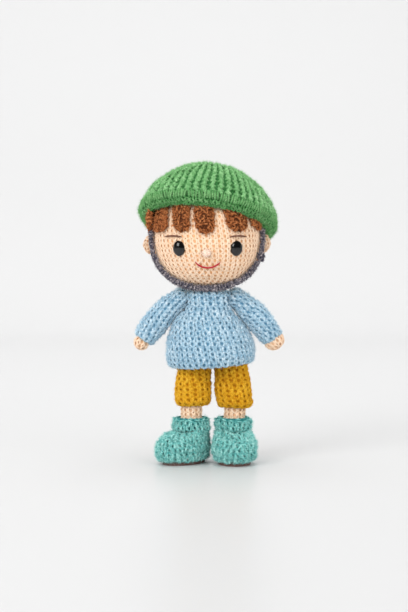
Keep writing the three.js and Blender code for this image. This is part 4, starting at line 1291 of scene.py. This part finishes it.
def makeHips():
    z, foot = shorts["waistZ"], shorts["waistFoot"]
    wide, deep = shorts["waist"]
    bulge, draw = shorts["bulge"], shorts["draw"]
    keys = ((foot, wide, deep), ((foot + z) / 2 + 1, wide + bulge, deep + bulge), (z, wide - draw, deep - draw))
    outer = keyedGrid(keys, 30)
    inner = keyedGrid([(k[0], k[1] - shorts["wall"], k[2] - shorts["wall"]) for k in keys], 30)
    hips = [(hip["x"] + side * hip["half"], 0, hip["z"]) for side in (-1, 1)]
    skins = (moved(outer, -shorts["hipSkin"]), inner)
    walls = (clearOfBalls(grid, hips, shorts["radius"] + clearance) for grid in skins)
    guides = stitchGuides(outer, shortsStitch, beyond(hips, shorts["radius"] + shorts["room"]))
    knit = crochet(guides, "v", "shorts", 101, shortsStitch)
    dress("shorts_hips", "torso", [shellSkin(*walls, yarns["shortsHole"], 12, 48), knit])


def makeLegs():
    for sizes in legs:
        name, side, foot, footX = (sizes[key] for key in ("name", "side", "footZ", "footX"))
        rootX = hip["x"] + side * hip["half"]
        root = (rootX, hip["z"])

        def keyAt(z, radius):
            return footX + (rootX - footX) * (z - foot) / (hip["z"] - foot), z, radius

        r = shorts["radius"]
        (low, bulge), *hem = shorts["hem"]
        keys = [keyAt(z, r + more) for z, more in (*shorts["thigh"], (foot + low, bulge))]
        keys += [(footX, foot + up, r + more) for up, more in hem]
        outer = uneven(downGrid((*root, r), keys, 70), shortsStitch, 24 + side)
        room = r - shorts["wall"]
        keys = [keyAt(z, room + more) for z, more in shorts["bore"]]
        bore = downGrid((*root, room), [*keys, (footX, foot, room - shorts["boreEnd"])], 24)
        knit = crochet(stitchGuides(outer, shortsStitch), "v", "shorts", 103 + side, shortsStitch)
        skin = closedSkin(moved(outer, -shortsStitch["skin"])[::-1], yarns["shortsHole"], 30, 40, bore=bore)
        dress(f"shorts_leg_{name}", f"leg_{name}", [skin, knit])

        ankleX, calfX, ankle = sizes["ankleX"], sizes["calfX"], leg["ankle"]
        keys = [keyAt(leg["kneeZ"], leg["knee"]), ((footX + calfX) / 2, leg["shinZ"], ankle)]
        keys += [(calfX, leg["calfZ"], ankle), (ankleX, leg["ankleTop"], ankle)]
        keys += [(ankleX, z, ankle - inset) for z, inset in leg["heel"]]
        grid = downGrid((*root, leg["root"]), keys, 80)
        low, high = leg["shown"]
        look = {"keep": lambda p, n: low < p[2] < high, "faces": (36, 32), "hole": "limbHole"}
        parts = stitched(grid, "skin", 107 + side, legStitch, **look)
        dress(f"leg_{name}", f"leg_{name}", parts)


makeHips()
makeLegs()
print("legs made")

# Boots: chunky rounds over the foot, a cuff of two rows with a rolled rim

bootKeys = (
    (2.5, 9.2, -20.6, 9.5), (4.6, 10.4, -22.6, 11), (8.3, 10.9, -23.3, 11.6), (12, 10.4, -21.8, 11),
    (15, 9.8, -17, 9.9), (17.5, 9.2, -9.8, 9.2),
)
boot = dict(
    ball=0.09, socket=6.0, boreAt=(17.3, 13.6, 5), floor=0.2, cuffRings=18, rolls=14,
    rollAt=((0.35, 1.0, 0.6), (1.2, 0.5, 1.8)), cuffLow=17.8, cuffHigh=24.5, outer=9.9, inner=6.9,
    skirt=((2.2, 9.8, -21.2, 10.2), (3.4, 10.2, -22.0, 10.7), (4.8, 10.5, -22.6, 11.0)),
)
bootStitch = dict(
    plainStitch, width=3.4, height=2.7, yarn=1.16, loft=0.75, shift=0.4, tilt=0.4, lean=0.15, sink=0.6,
    flat=0.8, skin=1.3, bumps=(0.5, 6), fuzz=13.0, fuzzLength=1.8, fuzzRadius=0.06,
)
cuffStitch = dict(
    bootStitch, width=3.2, height=2.5, yarn=0.95, loft=0.6, sink=0.75, skin=1.1,
    bumps=(0.3, 5),
)
rollStitch = dict(bootStitch, width=4.6, height=2.0, yarn=1.05, loft=0.5)


def footRing(z, heel, toe, half):
    a = angles()
    wide = 1 - boot["ball"] * np.sin(a)
    along = (heel + toe) / 2 + (heel - toe) / 2 * np.sin(a)
    return np.stack([half * np.cos(a) * wide, along, np.full_like(a, z)], 1)


def roundRings(radius, heights):
    return [oval((0, 0, z), radius, radius) for z in heights]


def placed(grid, x, toeOut):
    turn = np.array(Matrix.Rotation(radians(toeOut), 3, "Z"))
    return np.array(grid) @ turn.T + (x, 0, 0)


def makeBoot(name, side, where):
    heights = np.linspace(bootKeys[0][0], bootKeys[-1][0], 60)
    outer = placed([footRing(z, *between(bootKeys, z)) for z in heights], *where)
    outer = uneven(outer, bootStitch, 34 + side)
    rim, *socket = boot["boreAt"]
    bore = placed(roundRings(boot["inner"], [rim]) + roundRings(boot["socket"], socket), *where)
    skirt = placed([footRing(*sizes) for sizes in boot["skirt"]], *where)
    guides = stitchGuides(outer, bootStitch) + stitchGuides(skirt, bootStitch)
    knit = crochet(guides, "v", "boot", 111 + side, bootStitch)
    skin = closedSkin(moved(outer, -bootStitch["skin"]), yarns["bootHole"], 24, bore=bore)
    for v in (*skin.data.vertices, *knit.data.vertices):  # nothing pokes through the floor
        v.co.z = max(v.co.z, boot["floor"] * mm)
    dress(f"boot_{name}", f"boot_{name}", [skin, knit])


def makeCuff(name, side, where):
    low, high = boot["cuffLow"], boot["cuffHigh"]
    outer = uneven(placed(roundRings(boot["outer"], np.linspace(low, high, 24)), *where), cuffStitch, 44 + side)
    inner = placed(roundRings(boot["inner"], np.linspace(low, high, 6)), *where)
    roll = []
    for turn in np.radians(np.arange(0, 360, 360 / boot["rolls"])):
        aim = placed([[(cos(turn), sin(turn), 0)]], 0, where[1])[0][0]
        for tip, below, inset in boot["rollAt"]:
            outward = aim * cos(tip) + np.array((0, 0, sin(tip)))
            place = aim * (boot["outer"] - inset) + (where[0], 0, high - below)
            roll.append((place, np.cross((0, 0, 1), aim), outward, (1, 1, 1)))
    parts = [
        shellSkin(moved(outer, -cuffStitch["skin"]), inner, yarns["bootHole"], 6, 48),
        crochet(stitchGuides(outer[: boot["cuffRings"]], cuffStitch), "v", "boot", 115 + side, cuffStitch),
        crochet(roll, "bar", "boot", 119 + side, rollStitch),
    ]
    dress(f"boot_cuff_{name}", f"boot_{name}", parts)


for sizes in legs:
    for make in (makeBoot, makeCuff):
        make(sizes["name"], sizes["side"], (sizes["ankleX"], sizes["side"] * sizes["toeOut"]))
print("boots made")

# The hard pieces keep their CAD shapes

for names, material, slot in (
    (("sole_right", "sole_left"), soleFelt, "sole_felt"),
    (("eye_washer_right", "eye_washer_left"), washerPlastic, "washer_plastic"),
    (("neck_dowel",), dowelWood, "dowel_wood"),
    (("shoulder_thread", "hip_thread"), jointThreadLook, "joint_thread"),
):
    for name in names:
        node = frame["nodes"][name]
        node.data.materials.clear()
        node.data.materials.append(material)

# Stage and light

floor = dict(
    width=3.0, front=1.5, back=0.9, bend=0.5, steps=16, tall=1.6, near=0.595,
    far=0.79, fadeFrom=-0.4, fadeTo=1.0,
)


def makeStage():
    back, bend, steps = (floor[key] for key in ("back", "bend", "steps"))
    profile = [(-floor["front"], 0.0), (back, 0.0)]
    for i in range(1, steps + 1):
        a = pi / 2 * i / steps
        profile.append((back + bend * sin(a), bend * (1 - cos(a))))
    profile.append((back + bend, floor["tall"]))
    half = floor["width"] / 2
    verts = [(x, y, z) for y, z in profile for x in (-half, half)]
    faces = [(2 * i, 2 * i + 1, 2 * i + 3, 2 * i + 2) for i in range(len(profile) - 1)]
    material, tree, shader = plainMaterial("studio floor", 0.35)
    way = addNode(tree, "ShaderNodeSeparateXYZ", {"Vector": addNode(tree, "ShaderNodeTexCoord").outputs["Object"]})
    # The floor is painted darker at the front and lighter towards the back and the backdrop: painted shade and light
    # that stand in for how the lamps light the stage
    near, far = ((floor[key],) * 3 + (1,) for key in ("near", "far"))
    shade = blend(tree, ranged(tree, way.outputs["Y"], floor["fadeFrom"], floor["fadeTo"]), near, far)
    setInputs(tree, shader, {"Base Color": shade, "Specular IOR Level": 0.25})
    ground = meshObject(verts, faces, material)
    ground.name = "floor"


lamps = dict(
    key=dict(place=(-0.8, -1.05, 0.78), size=0.8, power=11.5, shine=True),
    fill=dict(place=(0.8, -1.0, 0.45), size=0.9, power=4.5, shine=False),
    top=dict(place=(0.0, 0.3, 1.3), size=0.9, power=5.5, shine=False),
)
lampAim = 0.085
sky = dict(strength=0.87, dark=0.04, aim=(0.0, -0.6, 0.8), low=-0.1, high=0.3)  # dark: as gloss sees it


def makeLights():
    aim = Vector((0, dollY, lampAim))
    for name, sizes in lamps.items():
        data = bpy.data.lights.new(name, "AREA")
        data.shape = "SQUARE"
        data.size = sizes["size"]
        data.energy = sizes["power"]
        aimed(name, data, Vector(sizes["place"]), aim).visible_glossy = sizes["shine"]
    world = bpy.data.worlds.new("studio")
    bpy.context.scene.world = world
    world.use_nodes = True
    tree = world.node_tree
    way = addNode(tree, "ShaderNodeTexCoord").outputs["Object"]
    frontUp = addNode(tree, "ShaderNodeVectorMath", {0: way, 1: sky["aim"]}, operation="DOT_PRODUCT").outputs["Value"]
    level = ranged(tree, frontUp, sky["low"], sky["high"], **{"To Min": 1.0, "To Max": sky["dark"]})
    glossy = addNode(tree, "ShaderNodeLightPath").outputs["Is Glossy Ray"]
    seen = ranged(tree, glossy, 0.0, 1.0, **{"To Min": 1.0, "To Max": level})
    strength = maths(tree, "MULTIPLY", seen, sky["strength"])
    setInputs(tree, tree.nodes["Background"], {"Color": (1, 1, 1, 1), "Strength": strength})


makeStage()
makeLights()
